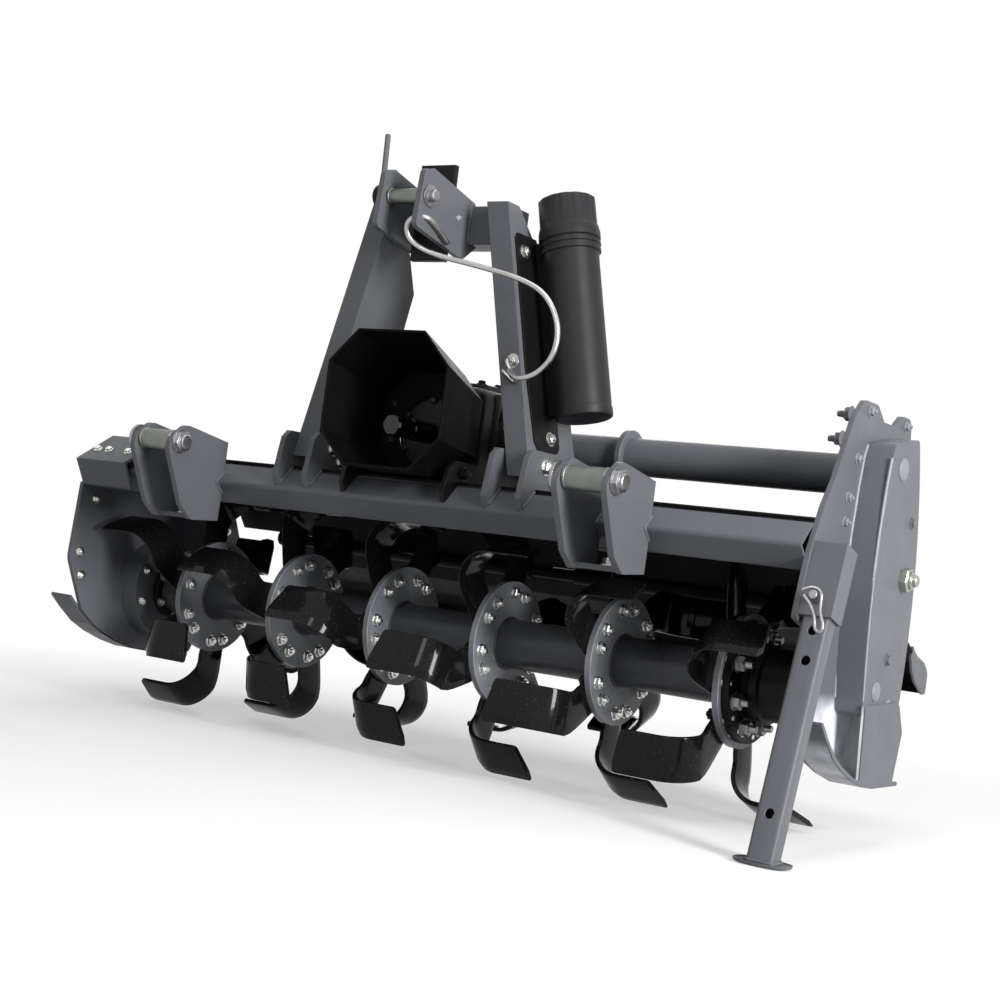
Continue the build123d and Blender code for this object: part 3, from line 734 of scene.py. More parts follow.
def apply_tree(name, mesh, tree_name, values, body):
    """Runs a geometry node tree on a mesh and keeps the plain result."""
    maker = {"bolts": bolt_tree, "weld": weld_tree}[tree_name]
    if tree_name not in TREES:
        TREES[tree_name] = maker()
    tree = TREES[tree_name]
    holder = bpy.data.objects.new(name + "_seed", mesh)
    bpy.context.scene.collection.objects.link(holder)
    modifier = holder.modifiers.new("Nodes", "NODES")
    modifier.node_group = tree
    by_name = {item.name: item.identifier for item in tree.interface.items_tree if item.in_out == "INPUT"}
    for key, value in values.items():
        modifier[by_name[key]] = value
    result = plain_mesh(holder)
    holder.modifiers.clear()
    bpy.data.objects.remove(holder)
    result.name = name
    return add_object(name, result, None, body)


def bolts(name, places, radius, height, washer, stud, material="zinc", body=BODY):
    """Hex bolt heads at (point, facing) places; washer is its radius, and stud what stands out."""
    mesh = bpy.data.meshes.new(name + "_points")
    mesh.from_pydata([tuple(point) for point, _ in places], [], [])
    facing = mesh.attributes.new("facing", "FLOAT_VECTOR", "POINT")
    for number, (_, way) in enumerate(places):
        facing.data[number].vector = way
    values = {
        "Head radius": radius,
        "Head height": height,
        "Washer radius": washer,
        "Washer height": radius * 0.16,
        "Stud radius": radius * 0.52,
        "Stud length": stud,
        "Material": MATERIALS[material],
    }
    return apply_tree(name, mesh, "bolts", values, body)


def weld(name, runs, radius, material="frame", body=BODY):
    """Weld beads along runs, each a list of points."""
    points = []
    edges = []
    for run in runs:
        first = len(points)
        points.extend(tuple(point) for point in run)
        edges.extend((first + step, first + step + 1) for step in range(len(run) - 1))
    mesh = bpy.data.meshes.new(name + "_line")
    mesh.from_pydata(points, edges, [])
    values = {"Bead radius": radius, "Ripple length": radius * 1.5, "Material": MATERIALS[material]}
    piece = apply_tree(name, mesh, "weld", values, body)
    shade_by_angle(piece.data, radians(60))
    return piece


# ---------------------------------------------------------------- tines and rotor
# edges of a tine's shank with the blade upright, from its foot to the bend: y and z
LEADING_EDGE = [(-0.074, 0.028), (-0.092, 0.050), (-0.107, 0.071), (-0.118, 0.087), (-0.126, 0.101),
                (-0.131, 0.116)]
TRAILING_EDGE = [(-0.022, 0.046), (-0.036, 0.067), (-0.046, 0.084), (-0.054, 0.098), (-0.061, 0.107),
                 (-0.064, 0.116)]
# across a tine, from the leading edge: share of the width, and share of the full thickness
TINE_SECTION = [(0.0, 0.22), (0.03, 0.30), (0.17, 0.92), (0.22, 1.0), (0.60, 1.0), (0.94, 1.0),
                (0.985, 0.85), (1.0, 0.55)]
# along a blade, from the bend: share of its length, and how much its tip's corners are cut
BLADE_STATIONS = [(0.3, 0.0), (0.6, 0.0), (0.93, 0.0), (0.985, 0.002), (1.0, 0.006)]
BLADE_TAPER = 0.012
BEND_STEPS = 12
TINE_BOLT_ANGLES = (radians(31), radians(53))


def tine_stations(tines):
    """Middle lines across the tine from foot to tip, each with the outward normal there."""
    half = tines.thickness / 2
    rows = [(Vector((half, *lead)), Vector((half, *trail)), Vector(LEFT))
            for lead, trail in zip(LEADING_EDGE, TRAILING_EDGE)]
    lead_y, trail_y = LEADING_EDGE[-1][0], TRAILING_EDGE[-1][0]
    centre = tines.blade_plane - tines.bend
    radius = tines.bend - half
    for step in range(1, BEND_STEPS + 1):
        turn = radians(90) * step / BEND_STEPS
        x, z = tines.bend - radius * cos(turn), centre + radius * sin(turn)
        outward = Vector((-cos(turn), 0, sin(turn)))
        rows.append((Vector((x, lead_y, z)), Vector((x, trail_y, z)), outward))
    z = tines.blade_plane - half
    for share, nip in BLADE_STATIONS:
        x = tines.bend + (tines.reach - tines.bend) * share
        lead = Vector((x, lead_y + nip, z))
        trail = Vector((x - BLADE_TAPER * share, trail_y - nip, z))
        rows.append((lead, trail, Vector(UP)))
    return rows


def add_tine(shape, tines, place, left_hand):
    """Adds one bent tine with a ground leading edge to a mesh."""
    flange_half = tines.flange_thickness / 2
    rings = []
    for lead, trail, normal in tine_stations(tines):
        outer, inner = [], []
        for side, row in ((1, outer), (-1, inner)):
            for across, full in TINE_SECTION:
                point = lead.lerp(trail, across) + normal * side * full * tines.thickness / 2
                if left_hand:
                    point.x = -point.x - flange_half
                else:
                    point.x -= tines.thickness + flange_half
                row.append(shape.verts.new(place @ point))
        rings.append(outer + inner[::-1])
    join_rings(shape, rings)
    last = len(rings[0]) - 1
    for end in (rings[0], rings[-1]):
        for step in range(len(TINE_SECTION) - 1):
            shape.faces.new((end[step + 1], end[step], end[last - step], end[last - step - 1]))


def tine_places(tines, hand):
    """Each tine's placement, with its flange's number and its angle from upright."""
    step = radians(360 / TINES_A_FLANGE)
    first = tines.first_angle + (0 if hand == "left" else step)
    places = []
    for index, (left_face, right_face) in enumerate(flange_faces(tines)):
        x = (left_face + right_face) / 2
        for number in range(TINES_A_FLANGE // 2):
            angle = first + index * tines.flange_turn + 2 * step * number
            place = Matrix.Translation((x, ROTOR.y, ROTOR.z)) @ Matrix.Rotation(angle, 4, "X")
            places.append((place, index, angle))
    return places


class TILLER_OT_tines(Operator):
    """Bent tines with ground leading edges, with the bolts that hold them"""
    bl_idname = "tiller.tines"
    bl_label = "Tines and their bolts"

    def execute(self, context):
        tines = context.scene.tiller_tines
        sizes = context.scene.tiller_fasteners
        faces = flange_faces(tines)
        heads, nuts = [], []
        for hand in ("left", "right"):
            shape = bmesh.new()
            for place, index, angle in tine_places(tines, hand):
                add_tine(shape, tines, place, hand == "left")
                left, right = faces[index]
                for apart in TINE_BOLT_ANGLES:
                    turn = angle + apart
                    heads.append((on_rotor(right, sizes.flange_bolt_circle, turn), RIGHT))
                    nuts.append((on_rotor(left - tines.thickness, sizes.flange_bolt_circle, turn), LEFT))
            piece = from_bmesh(f"forged_tines_{hand}_hand", shape, "tine", "rotor", radians(32))
            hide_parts(f"tines_{hand}_hand")
        size = sizes.flange_bolt_size
        bolts("tine_bolts", heads, size, size * 0.75, size * 1.12, 0.004, "bolt", "rotor")
        bolts("tine_nuts", nuts, size, size * 0.8, size * 1.12, 0.003, "black_bolt", "rotor")
        return {"FINISHED"}


class TILLER_OT_rotor(Operator):
    """Weld beads on the rotor's tube, the drive hub's collar and nuts, and the left hub's bolts"""
    bl_idname = "tiller.rotor"
    bl_label = "Rotor welds and drive hub"

    def execute(self, context):
        faces = flange_faces(context.scene.tiller_tines)
        tube = half_height("rotor_tubes") + 1 * MM
        sides = [right for _, right in faces[:-1]] + [left for left, _ in faces]
        rings = [circle_run((x, ROTOR.y, ROTOR.z), tube) for x in sides]
        bead = context.scene.tiller_fasteners.weld_radius
        # the tube's beads take the rotor paint, darkened as painted shade
        weld("rotor_welds", rings, bead, "rotor", "rotor")

        hub_flange, hub_end = 0.012, 0.018
        hub_face = faces[-1][1] + hub_flange
        bolts("hub_nuts", rotor_circle(hub_face, 0.072, 8, 22.5), 0.0125, 0.011, 0.0145, 0.010,
              "worn_bolt", "rotor")
        shape = bmesh.new()
        start, end = hub_face + 1 * MM, high("rotor_hubs").x - hub_end
        core, raised = 0.0545, 0.060
        length = end - start
        lathe(shape, [(0.0, core), (0.010, core), (0.014, raised), (0.026, raised), (0.030, core),
                      (length - 0.008, core), (length - 0.003, 0.050), (length, 0.046)],
              (start, ROTOR.y, ROTOR.z), RIGHT)
        from_bmesh("hub_collar", shape, "guard", "rotor", radians(35))

        left_flange = low("rotor_hubs").x + 0.048
        bolts("left_hub_bolts", rotor_circle(left_flange, 0.046, 6, 0), 0.0075, 0.006, 0.0095, 0.003,
              "worn_bolt", "rotor")
        return {"FINISHED"}


# ---------------------------------------------------------------- hitch
# turned ends of the pins and of the top pin's knob: distance out from the clevis, and radius
LOWER_PIN_HEAD = [(0.0120, 0.0125), (0.0105, 0.0142), (0.0060, 0.0142), (0.0058, 0.0225),
                  (0.0005, 0.0225), (0.0004, 0.0142)]
LOWER_PIN_END = [(0.0004, 0.0142), (0.0005, 0.0195), (0.0022, 0.0195), (0.0023, 0.0120),
                 (0.0145, 0.0120), (0.0158, 0.0106)]
TOP_PIN_HEAD = [(0.0008, 0.0085), (0.0, 0.0095)]
TOP_PIN_END = [(0.0004, 0.0095), (0.0005, 0.0170), (0.0030, 0.0170), (0.0032, 0.0095),
               (0.0120, 0.0095), (0.0138, 0.0078)]
TOP_PIN_KNOB = [(0.0135, 0.0150), (0.0122, 0.0178), (0.0100, 0.0188), (0.0050, 0.0188),
                (0.0025, 0.0178), (0.0006, 0.0150)]


def across_clevis(face, left_end, right_end=()):
    """A pin's profile along +X from the clevis's middle, whose plates' outer faces are at face."""
    left = [(-face - out, radius) for out, radius in left_end]
    return left + [(face + out, radius) for out, radius in right_end]


def turned_bush(shape, centre, half, radius):
    """A bush with chamfered ends and a shallow groove worn at its middle."""
    chamfer, groove, bevel = 0.0015, 0.0008, 0.0022
    right = [(half * 0.84, radius - groove), (half * 0.86, radius), (half - chamfer, radius),
             (half, radius - bevel)]
    left = [(-along, reach) for along, reach in reversed(right)]
    lathe(shape, left + right, centre, RIGHT, 56)


class TILLER_OT_hitch(Operator):
    """Pins with their collars, bushes and handle in the three clevises"""
    bl_idname = "tiller.hitch"
    bl_label = "Hitch pins and bushes"

    def execute(self, context):
        bushes, pins = bmesh.new(), bmesh.new()
        face = LOWER_GAP / 2 + CLEVIS_PLATE
        nut_face = face + 0.0022
        for side in (-1, 1):
            x = side * LINK_SPAN / 2
            turned_bush(bushes, spot(x, *LOWER_PIN), LOWER_GAP / 2, 0.01825)
            lathe(pins, across_clevis(face, LOWER_PIN_HEAD, LOWER_PIN_END), spot(x, *LOWER_PIN), RIGHT)
            hexagon(pins, spot(x + nut_face, *LOWER_PIN), 0.0180, 0.0085)
        turned_bush(bushes, spot(0, *TOP_PIN), TOP_GAP / 2, 0.0127)
        face = TOP_GAP / 2 + CLEVIS_PLATE
        knob = bmesh.new()
        lathe(knob, across_clevis(face, TOP_PIN_KNOB), spot(0, *TOP_PIN), RIGHT)
        from_bmesh("top_pin_knob", knob, "guard", BODY, radians(35))
        lathe(pins, across_clevis(face, TOP_PIN_HEAD, TOP_PIN_END), spot(0, *TOP_PIN), RIGHT)
        handle = bmesh.new()
        start, lean = spot(-face - 0.0075, *TOP_PIN), (-0.030, 0.0, 1.0)
        lathe(handle, [(0.006, 0.0046), (0.098, 0.0046), (0.0995, 0.0036)], start, lean, 16)
        piece = from_bmesh("turned_bushes", bushes, "bush", BODY, radians(35))
        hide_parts("hitch_bushes")
        piece = from_bmesh("turned_pins", pins, "pin", BODY, radians(35))
        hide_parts("hitch_pins")
        from_bmesh("top_pin_handle", handle, "frame", BODY, radians(35))
        return {"FINISHED"}


# the hanger's first bends lie on the top clevis, so x is from its plate's outer face
HANGER_HOOK = [(0.0075, -0.214, 0.612), (0.0065, -0.232, 0.622), (0.0060, -0.252, 0.6335),
               (0.0030, -0.2705, 0.6400), (-0.0060, -0.2760, 0.6400), (-0.0200, -0.2790, 0.6370),
               (-0.0330, -0.2740, 0.6250), (-0.0290, -0.2610, 0.6030), (0.0060, -0.2450, 0.5870)]
# its arm and its clip hang beside the right post, so x is from the mast's middle plane
HANGER_ARM = [(0.123, -0.2300, 0.5740), (0.199, -0.2220, 0.5570), (0.246, -0.2220, 0.5360),
              (0.273, -0.2220, 0.4990), (0.279, -0.2220, 0.4640), (0.270, -0.2220, 0.4330),
              (0.245, -0.2220, 0.4110), (0.215, -0.2200, 0.4050), (0.195, -0.2120, 0.4120),
              (0.184, -0.1960, 0.4240)]
HANGER_CLIP = [(0.179, -0.1850, 0.436), (0.176, -0.1960, 0.440), (0.181, -0.2030, 0.430),
               (0.192, -0.2010, 0.416), (0.199, -0.1930, 0.405), (0.189, -0.1860, 0.402),
               (0.176, -0.1850, 0.412), (0.166, -0.1900, 0.421)]


class TILLER_OT_hanger(Operator):
    """Bent spring rod that holds the drive shaft up when it is parked, with its clip"""
    bl_idname = "tiller.hanger"
    bl_label = "Shaft hanger"

    def execute(self, context):
        clevis_face = TOP_GAP / 2 + CLEVIS_PLATE
        route = [spot(clevis_face + x, y, z) for x, y, z in HANGER_HOOK]
        route += [spot(*place) for place in HANGER_ARM]
        piece = rod("hanger_rod", route, 0.0042, "clip", 20)
        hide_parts("shaft_hanger")
        rod("hanger_clip", [spot(*place) for place in HANGER_CLIP], 0.0028, "clip", 12)
        clip_bolt = [(spot(0.178, -0.1822, 0.437), FORWARD)]
        bolts("hanger_clip_bolt", clip_bolt, 0.0085, 0.006, 0.0115, 0.003)
        return {"FINISHED"}


# ---------------------------------------------------------------- canister
# along the canister's axis from its top, and radius
CANISTER_CAP = [(0.0005, 0.030), (0.0, 0.0435), (-0.0015, 0.0452), (-0.044, 0.0455), (-0.0475, 0.0470),
                (-0.0560, 0.0488), (-0.0665, 0.0488), (-0.0680, 0.0470)]
CANISTER_BODY = [(-0.0681, 0.0455), (-0.0715, 0.0455), (-0.0725, 0.0484), (-0.0770, 0.0484),
                 (-0.0780, 0.0462), (-0.0830, 0.0462), (-0.0840, 0.0480), (-0.0880, 0.0480),
                 (-0.0890, 0.0445), (-0.0990, 0.0440), (-0.3360, 0.0440), (-0.3375, 0.0450),
                 (-0.3480, 0.0450), (-0.3505, 0.0440), (-0.3520, 0.0415), (-0.3521, 0.0300)]
# the cap's grip ribs: count, depth, and the distance along the axis below which there are none
CAP_RIBS = (14, 0.0016, -0.046)
CANISTER_TOP = (0.186, -0.100, 0.706)
# the mounting plate on the post's outer side: y and z
MOUNT_OUTLINE = [(-0.166, 0.640), (-0.112, 0.640), (-0.104, 0.628), (-0.104, 0.420), (-0.090, 0.380),
                 (-0.090, 0.316), (-0.098, 0.306), (-0.154, 0.306), (-0.162, 0.318), (-0.172, 0.430),
                 (-0.172, 0.632)]
MOUNT_BOLTS = [(-0.151, 0.612), (-0.118, 0.326)]
MOUNT_BACK, MOUNT_FRONT = 0.1 * MM, 3.1 * MM


def mast_lean():
    """The right post's lean from upright."""
    return atan2(POST_SLANT, 2 * half_height("mast_post_right"))


def on_post(y, z, out):
    """A place a distance out from the right post's outer side."""
    lean = mast_lean()
    post_x, post_z = 0.132, 0.686
    return spot(post_x + (post_z - z) * tan(lean), y, z) + Vector((cos(lean), 0, sin(lean))) * out


class TILLER_OT_canister(Operator):
    """Document canister with its ribbed screw cap, its bands and its bracket's bolts"""
    bl_idname = "tiller.canister"
    bl_label = "Document canister"

    def execute(self, context):
        lean = mast_lean()
        top = spot(*CANISTER_TOP)
        axis = Vector((-sin(lean), 0, cos(lean)))
        shape = bmesh.new()
        lathe(shape, CANISTER_CAP, top, axis, 120, CAP_RIBS)
        cap = from_bmesh("canister_cap", shape, "canister", BODY, radians(30))
        shape = bmesh.new()
        lathe(shape, CANISTER_BODY, top, axis, 72)
        body = from_bmesh("canister_tube", shape, "canister", BODY, radians(30))
        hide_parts("document_canister")
        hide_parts("document_canister")
        shape = bmesh.new()
        close_rings(shape, [[shape.verts.new(on_post(y, z, out)) for y, z in MOUNT_OUTLINE]
                            for out in (MOUNT_BACK, MOUNT_FRONT)])
        from_bmesh("canister_mount", shape, "guard", BODY, radians(35))
        side = (cos(lean), 0, sin(lean))
        heads = [(on_post(y, z, MOUNT_FRONT), side) for y, z in MOUNT_BOLTS]
        bolts("canister_mount_bolts", heads, 0.0085, 0.006, 0.0115, 0.002)
        return {"FINISHED"}


# ---------------------------------------------------------------- gearbox, shield and side drive
# round one spline tooth: turn in radians, and share of the shaft's radius
SPLINE_TOOTH = [(-0.26, 0.86), (-0.25, 1.0), (0.0, 1.0), (0.25, 1.0), (0.26, 0.86), (0.52, 0.86)]
SPLINE_TEETH = 6


def spline_bar(shape, start, length, radius):
    """A splined shaft's end along -Y: teeth with flat tops, a locking groove and a chamfered tip."""
    stations = [(0.0, 1.0), (length - 0.046, 1.0), (length - 0.044, 0.86), (length - 0.036, 0.86),
                (length - 0.034, 1.0), (length - 0.003, 1.0), (length, 0.90)]
    rings = []
    for along, scale in stations:
        ring = []
        for tooth in range(SPLINE_TEETH):
            for turn, share in SPLINE_TOOTH:
                angle = 2 * pi * tooth / SPLINE_TEETH + turn
                reach = radius * min(share, scale)
                corner = (start.x + reach * cos(angle), start.y - along, start.z + reach * sin(angle))
                ring.append(shape.verts.new(corner))
        rings.append(ring)
    close_rings(shape, rings)


class TILLER_OT_gearbox(Operator):
    """Cast gearbox with its covers, ribs and plugs, and the splined input shaft"""
    bl_idname = "tiller.gearbox"
    bl_label = "Gearbox and input shaft"

    def execute(self, context):
        lo, hi = low("gearbox"), high("gearbox")
        centre = (lo + hi) / 2
        shaft_low, shaft_high = low("pto_shaft"), high("pto_shaft")
        axis_z = middle("pto_shaft").z
        drive_y = middle("drive_tube").y

        def inset(x0, y0, z0, x1, y1, z1, bevel, segments=2):
            """Adds a block set in from the box's low and high corners."""
            block(shape, lo + Vector((x0, y0, z0)), hi - Vector((x1, y1, z1)), bevel, segments)

        height = hi.z - lo.z
        shape = bmesh.new()
        inset(0.018, 0.016, 0.0, 0.016, 0.014, 0.016, 0.020, 5)
        inset(0.004, 0.030, 0.0, 0.002, 0.030, height - 0.014, 0.004)
        front_cover = [(0.0, 0.066), (0.010, 0.066), (0.013, 0.062), (0.018, 0.060)]
        lathe(shape, front_cover, (centre.x, lo.y + 0.018, axis_z), FORWARD, 64)
        side_cover = [(0.0, 0.074), (0.010, 0.074), (0.013, 0.070), (0.017, 0.066)]
        for x, way in ((hi.x - 0.018, RIGHT), (lo.x + 0.019, LEFT)):
            lathe(shape, side_cover, (x, drive_y, axis_z), way, 64)
        inset(0.036, 0.046, height - 0.020, 0.034, 0.044, 0.008, 0.003)
        rib_width, rib_pitch = 0.008, 0.040
        for step in range(3):
            y = 0.060 + step * rib_pitch
            inset(0.012, y, 0.012, 0.010, hi.y - lo.y - y - rib_width, 0.022, 0.003)
        filler = [(0.0, 0.012), (0.004, 0.012), (0.006, 0.009)]
        lathe(shape, filler, (centre.x + 0.026, centre.y + 0.02, hi.z - 0.009), UP, 24)
        piece = from_bmesh("gearbox_casting", shape, "cast", BODY, radians(30))
        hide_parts("gearbox")

        front_circle, side_circle = 0.054, 0.062
        turns = [radians(30 + 60 * step) for step in range(6)]
        places = [((centre.x + front_circle * cos(turn), lo.y, axis_z + front_circle * sin(turn)), FORWARD)
                  for turn in turns]
        places += [((centre.x + x, centre.y + y, hi.z - 0.008), UP)
                   for x in (-0.050, 0.050) for y in (-0.048, 0.0, 0.048)]
        bolts("gearbox_bolts", places, 0.0065, 0.005, 0.008, 0.0, "black_bolt", BODY)
        turns = [radians(22.5 + 45 * step) for step in range(8)]
        places = [((x, drive_y + side_circle * cos(turn), axis_z + side_circle * sin(turn)), way)
                  for x, way in ((hi.x - 0.004, RIGHT), (lo.x + 0.005, LEFT)) for turn in turns]
        bolts("gearbox_side_bolts", places, 0.0062, 0.003, 0.0075, 0.0, "bolt", BODY)

        shape = bmesh.new()
        start = Vector((centre.x, shaft_high.y, axis_z))
        spline_bar(shape, start, shaft_high.y - shaft_low.y, (shaft_high.x - shaft_low.x) / 2)
        piece = from_bmesh("splined_shaft", shape, "oiled", "input_shaft", radians(25))
        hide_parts("pto_shaft")
        return {"FINISHED"}


SHIELD_MIDDLE_Z = 0.334
SHIELD_BACK = (-0.1335, -0.1305)
SHIELD_BORE = 0.0575
BORE_STEPS = 48


def octagon_ring(shape, share, y, z):
    """Corners of the shield's outline, a share of its mouth in size."""
    half_width, half_high, cut_off = 0.117, 0.108, 0.052
    flat, tall = half_width - cut_off, half_high - cut_off
    corners = [(half_width, tall), (flat, half_high), (-flat, half_high), (-half_width, tall),
               (-half_width, -tall), (-flat, -half_high), (flat, -half_high), (half_width, -tall)]
    return [shape.verts.new(spot(x * share, y, z + up * share)) for x, up in corners]


def bore_ring(shape, y):
    """Corners of the hole for the shaft in the shield's back."""
    turns = [radians(22.5) + 2 * pi * step / BORE_STEPS for step in range(BORE_STEPS)]
    return [shape.verts.new(spot(SHIELD_BORE * cos(turn), y, SHAFT_AXIS_Z + SHIELD_BORE * sin(turn)))
            for turn in turns]


class TILLER_OT_shield(Operator):
    """Back wall of the shaft's shield, with its bore and its bolts"""
    bl_idname = "tiller.shield"
    bl_label = "Shaft shield"

    def execute(self, context):
        shape = bmesh.new()
        sides = []
        for y in SHIELD_BACK:
            outer, hole = octagon_ring(shape, 0.785, y, SHIELD_MIDDLE_Z + 0.2 * MM), bore_ring(shape, y)
            sides.append((outer, hole))
            per = BORE_STEPS // len(outer)
            for side, here in enumerate(outer):
                there = outer[(side + 1) % len(outer)]
                arc = [hole[(side * per + step) % BORE_STEPS] for step in range(per + 1)]
                for one, two in zip(arc, arc[1:]):
                    shape.faces.new((here, one, two))
                shape.faces.new((here, arc[-1], there))
        for front, back in zip(*sides):
            join_rings(shape, [front, back])
        from_bmesh("shield_back", shape, "shield", BODY, radians(35))
        heads = [(spot(x, SHIELD_BACK[0], SHIELD_MIDDLE_Z + z), FORWARD)
                 for x in (-0.074, 0.074) for z in (-0.030, 0.030)]
        bolts("shield_bolts", heads, 0.0065, 0.0045, 0.0085, 0.0, "black_bolt", BODY)
        return {"FINISHED"}


class TILLER_OT_drive_tube(Operator):
    """Collar and end flanges on the side drive's tube, with bolts on its left flange"""
    bl_idname = "tiller.drive_tube"
    bl_label = "Side drive tube"

    def execute(self, context):
        left, right = low("drive_tube").x, high("drive_tube").x
        centre = middle("drive_tube")
        radius = half_height("drive_tube")
        skin = radius + 0.2 * MM
        shape = bmesh.new()
        collar = [(0.0, skin), (0.0001, radius + 0.0105), (0.0015, radius + 0.012), (0.0095, radius + 0.012),
                  (0.011, radius + 0.0105), (0.0111, skin)]
        lathe(shape, collar, (MAST_X + 0.288, centre.y, centre.z), RIGHT, 72)
        for start, thick in ((left, 0.012), (right - 0.010, 0.0098)):
            flange = [(0.0, skin), (0.0001, radius + 0.018), (thick - 0.001, radius + 0.018),
                      (thick, radius + 0.017), (thick + 0.0001, skin)]
            lathe(shape, flange, (start, centre.y, centre.z), RIGHT, 72)
        from_bmesh("drive_tube_collars", shape, "frame", BODY, radians(35))
        circle = radius + 0.010
        turns = [radians(30 + 60 * step) for step in range(6)]
        places = [((left + 0.012, centre.y + circle * cos(turn), centre.z + circle * sin(turn)), RIGHT)
                  for turn in turns]
        bolts("drive_tube_bolts", places, 0.0065, 0.005, 0.0075, 0.002, "bolt")
        return {"FINISHED"}


# ---------------------------------------------------------------- tailboard
SLEEVE = 0.0148
SHORTEST_SLEEVE = 0.006
# the strip's middle line and the end plates' outline: y and z from the rotor's axis
TAIL_STRIP = [(0.3775, 0.0400), (0.3795, 0.0310), (0.3790, 0.0180), (0.3765, 0.0035)]
STRIP_THICKNESS = 0.004
TAIL_END = [(0.300, 0.0790), (0.312, 0.0700), (0.324, 0.0640), (0.342, 0.0590), (0.361, 0.0535),
            (0.376, 0.0430), (0.3818, 0.0360), (0.3823, 0.0220), (0.3805, 0.0030), (0.3680, 0.0020),
            (0.3500, 0.0100), (0.3250, 0.0220), (0.3050, 0.0400), (0.2960, 0.0600)]


def upright_slab(shape, outline, x, thickness):
    """Adds a flat form with its outline, as y and z from the rotor's axis, across +X."""
    close_rings(shape, [[shape.verts.new(beside_rotor(x + out, pair)) for pair in outline]
                        for out in (0.0, thickness)])


class TILLER_OT_tail(Operator):
    """Sleeves on the tailboard's hinge rod, and the folded strip along the tailboard's lower edge"""
    bl_idname = "tiller.tail"
    bl_label = "Hinge sleeves and tail strip"

    def execute(self, context):
        rod_axis = middle("hinge_rod")
        board_left, board_right = low("tailboard").x, high("tailboard").x
        left, right = board_left + 0.006, board_right - 0.006
        ends = [left]
        for x in HINGES:
            ends += [MAST_X + x - HINGE_HALF, MAST_X + x + HINGE_HALF]
        ends.append(right)
        chamfer = 1 * MM
        shape = bmesh.new()
        for start, end in zip(ends[::2], ends[1::2]):
            length = end - start
            if length > SHORTEST_SLEEVE:
                sleeve = [(0.0, SLEEVE - chamfer), (chamfer, SLEEVE), (length - chamfer, SLEEVE),
                          (length, SLEEVE - chamfer)]
                lathe(shape, sleeve, (start, rod_axis.y, rod_axis.z), RIGHT, 32)
        # the sleeves take the hood's black, which is painted shade
        from_bmesh("hinge_sleeves", shape, "hood", BODY, radians(35))
        shape = bmesh.new()
        half, drop = STRIP_THICKNESS / 2, 0.5 * MM
        outer = [(y + half, z - drop) for y, z in TAIL_STRIP]
        inner = [(y - half, z + drop) for y, z in TAIL_STRIP]
        upright_slab(shape, outer + inner[::-1], left, right - left)
        # the strip takes the hood's black, which is painted shade
        from_bmesh("tail_strip", shape, "hood", "tailboard", radians(40))
        shape = bmesh.new()
        lap, thick = 0.3 * MM, 0.004
        upright_slab(shape, TAIL_END, board_left - lap, thick)
        upright_slab(shape, TAIL_END, board_right + lap, -thick)
        from_bmesh("tail_end_plates", shape, "frame", "tailboard", radians(35))
        return {"FINISHED"}


# ---------------------------------------------------------------- parking stand
LEG_WALL = 0.003
# the foot's dish from its middle: share of its width, rise of the top and of the underside
FOOT_RINGS = [(0.30, 0.0, 0.0), (0.62, 0.0, 0.0), (0.86, 0.0008, 0.0005), (0.97, 0.0035, 0.0022),
              (1.0, 0.0052, 0.0040)]
FOOT_STEPS = 48
FOOT_THICKNESS = 0.0042
# the clip's wire round the pin's end: right, up along the leg, and forward
STAND_CLIP = [(-0.016, 0.004, 0.004), (-0.010, 0.009, 0.003), (0.002, 0.0105, 0), (0.011, 0.004, 0),
              (0.012, -0.008, 0), (0.015, -0.024, 0.002), (0.024, -0.040, 0.002), (0.021, -0.050, 0),
              (0.012, -0.047, 0), (0.009, -0.032, 0), (0.002, -0.018, 0), (-0.006, -0.008, 0.003),
              (-0.012, -0.003, 0.005)]


def leg_place():
    """The leg's frame: its origin is at the sleeve's top, and +Z runs up along the leg."""
    top = beside_rotor(middle("stand_sleeve").x, STAND_TOP)
    return Matrix.Translation(top) @ Matrix.Rotation(-LEG_TILT, 4, "X")


def on_foot(place, x, y, below=0.0):
    """A place on the foot's top, straight down the leg from a point of the leg's section."""
    head = place @ Vector((x, y, -below))
    down = place.to_3x3() @ Vector((0, 0, -1))
    return head + down * ((head.z - high("stand_foot").z) / -down.z)


def dished_ring(shape, share, z):
    """Corners of the foot's rounded outline, a share of it in size."""
    lo, hi = low("stand_foot"), high("stand_foot")
    centre, half = (lo + hi) / 2, (hi - lo) / 2
    squareness = 0.75
    ring = []
    for step in range(FOOT_STEPS):
        angle = 2 * pi * step / FOOT_STEPS
        c, s = cos(angle), sin(angle)
        x = centre.x + half.x * share * abs(c) ** squareness * (1 if c >= 0 else -1)
        y = centre.y + half.y * share * abs(s) ** squareness * (1 if s >= 0 else -1)
        ring.append(shape.verts.new((x, y, z)))
    return ring


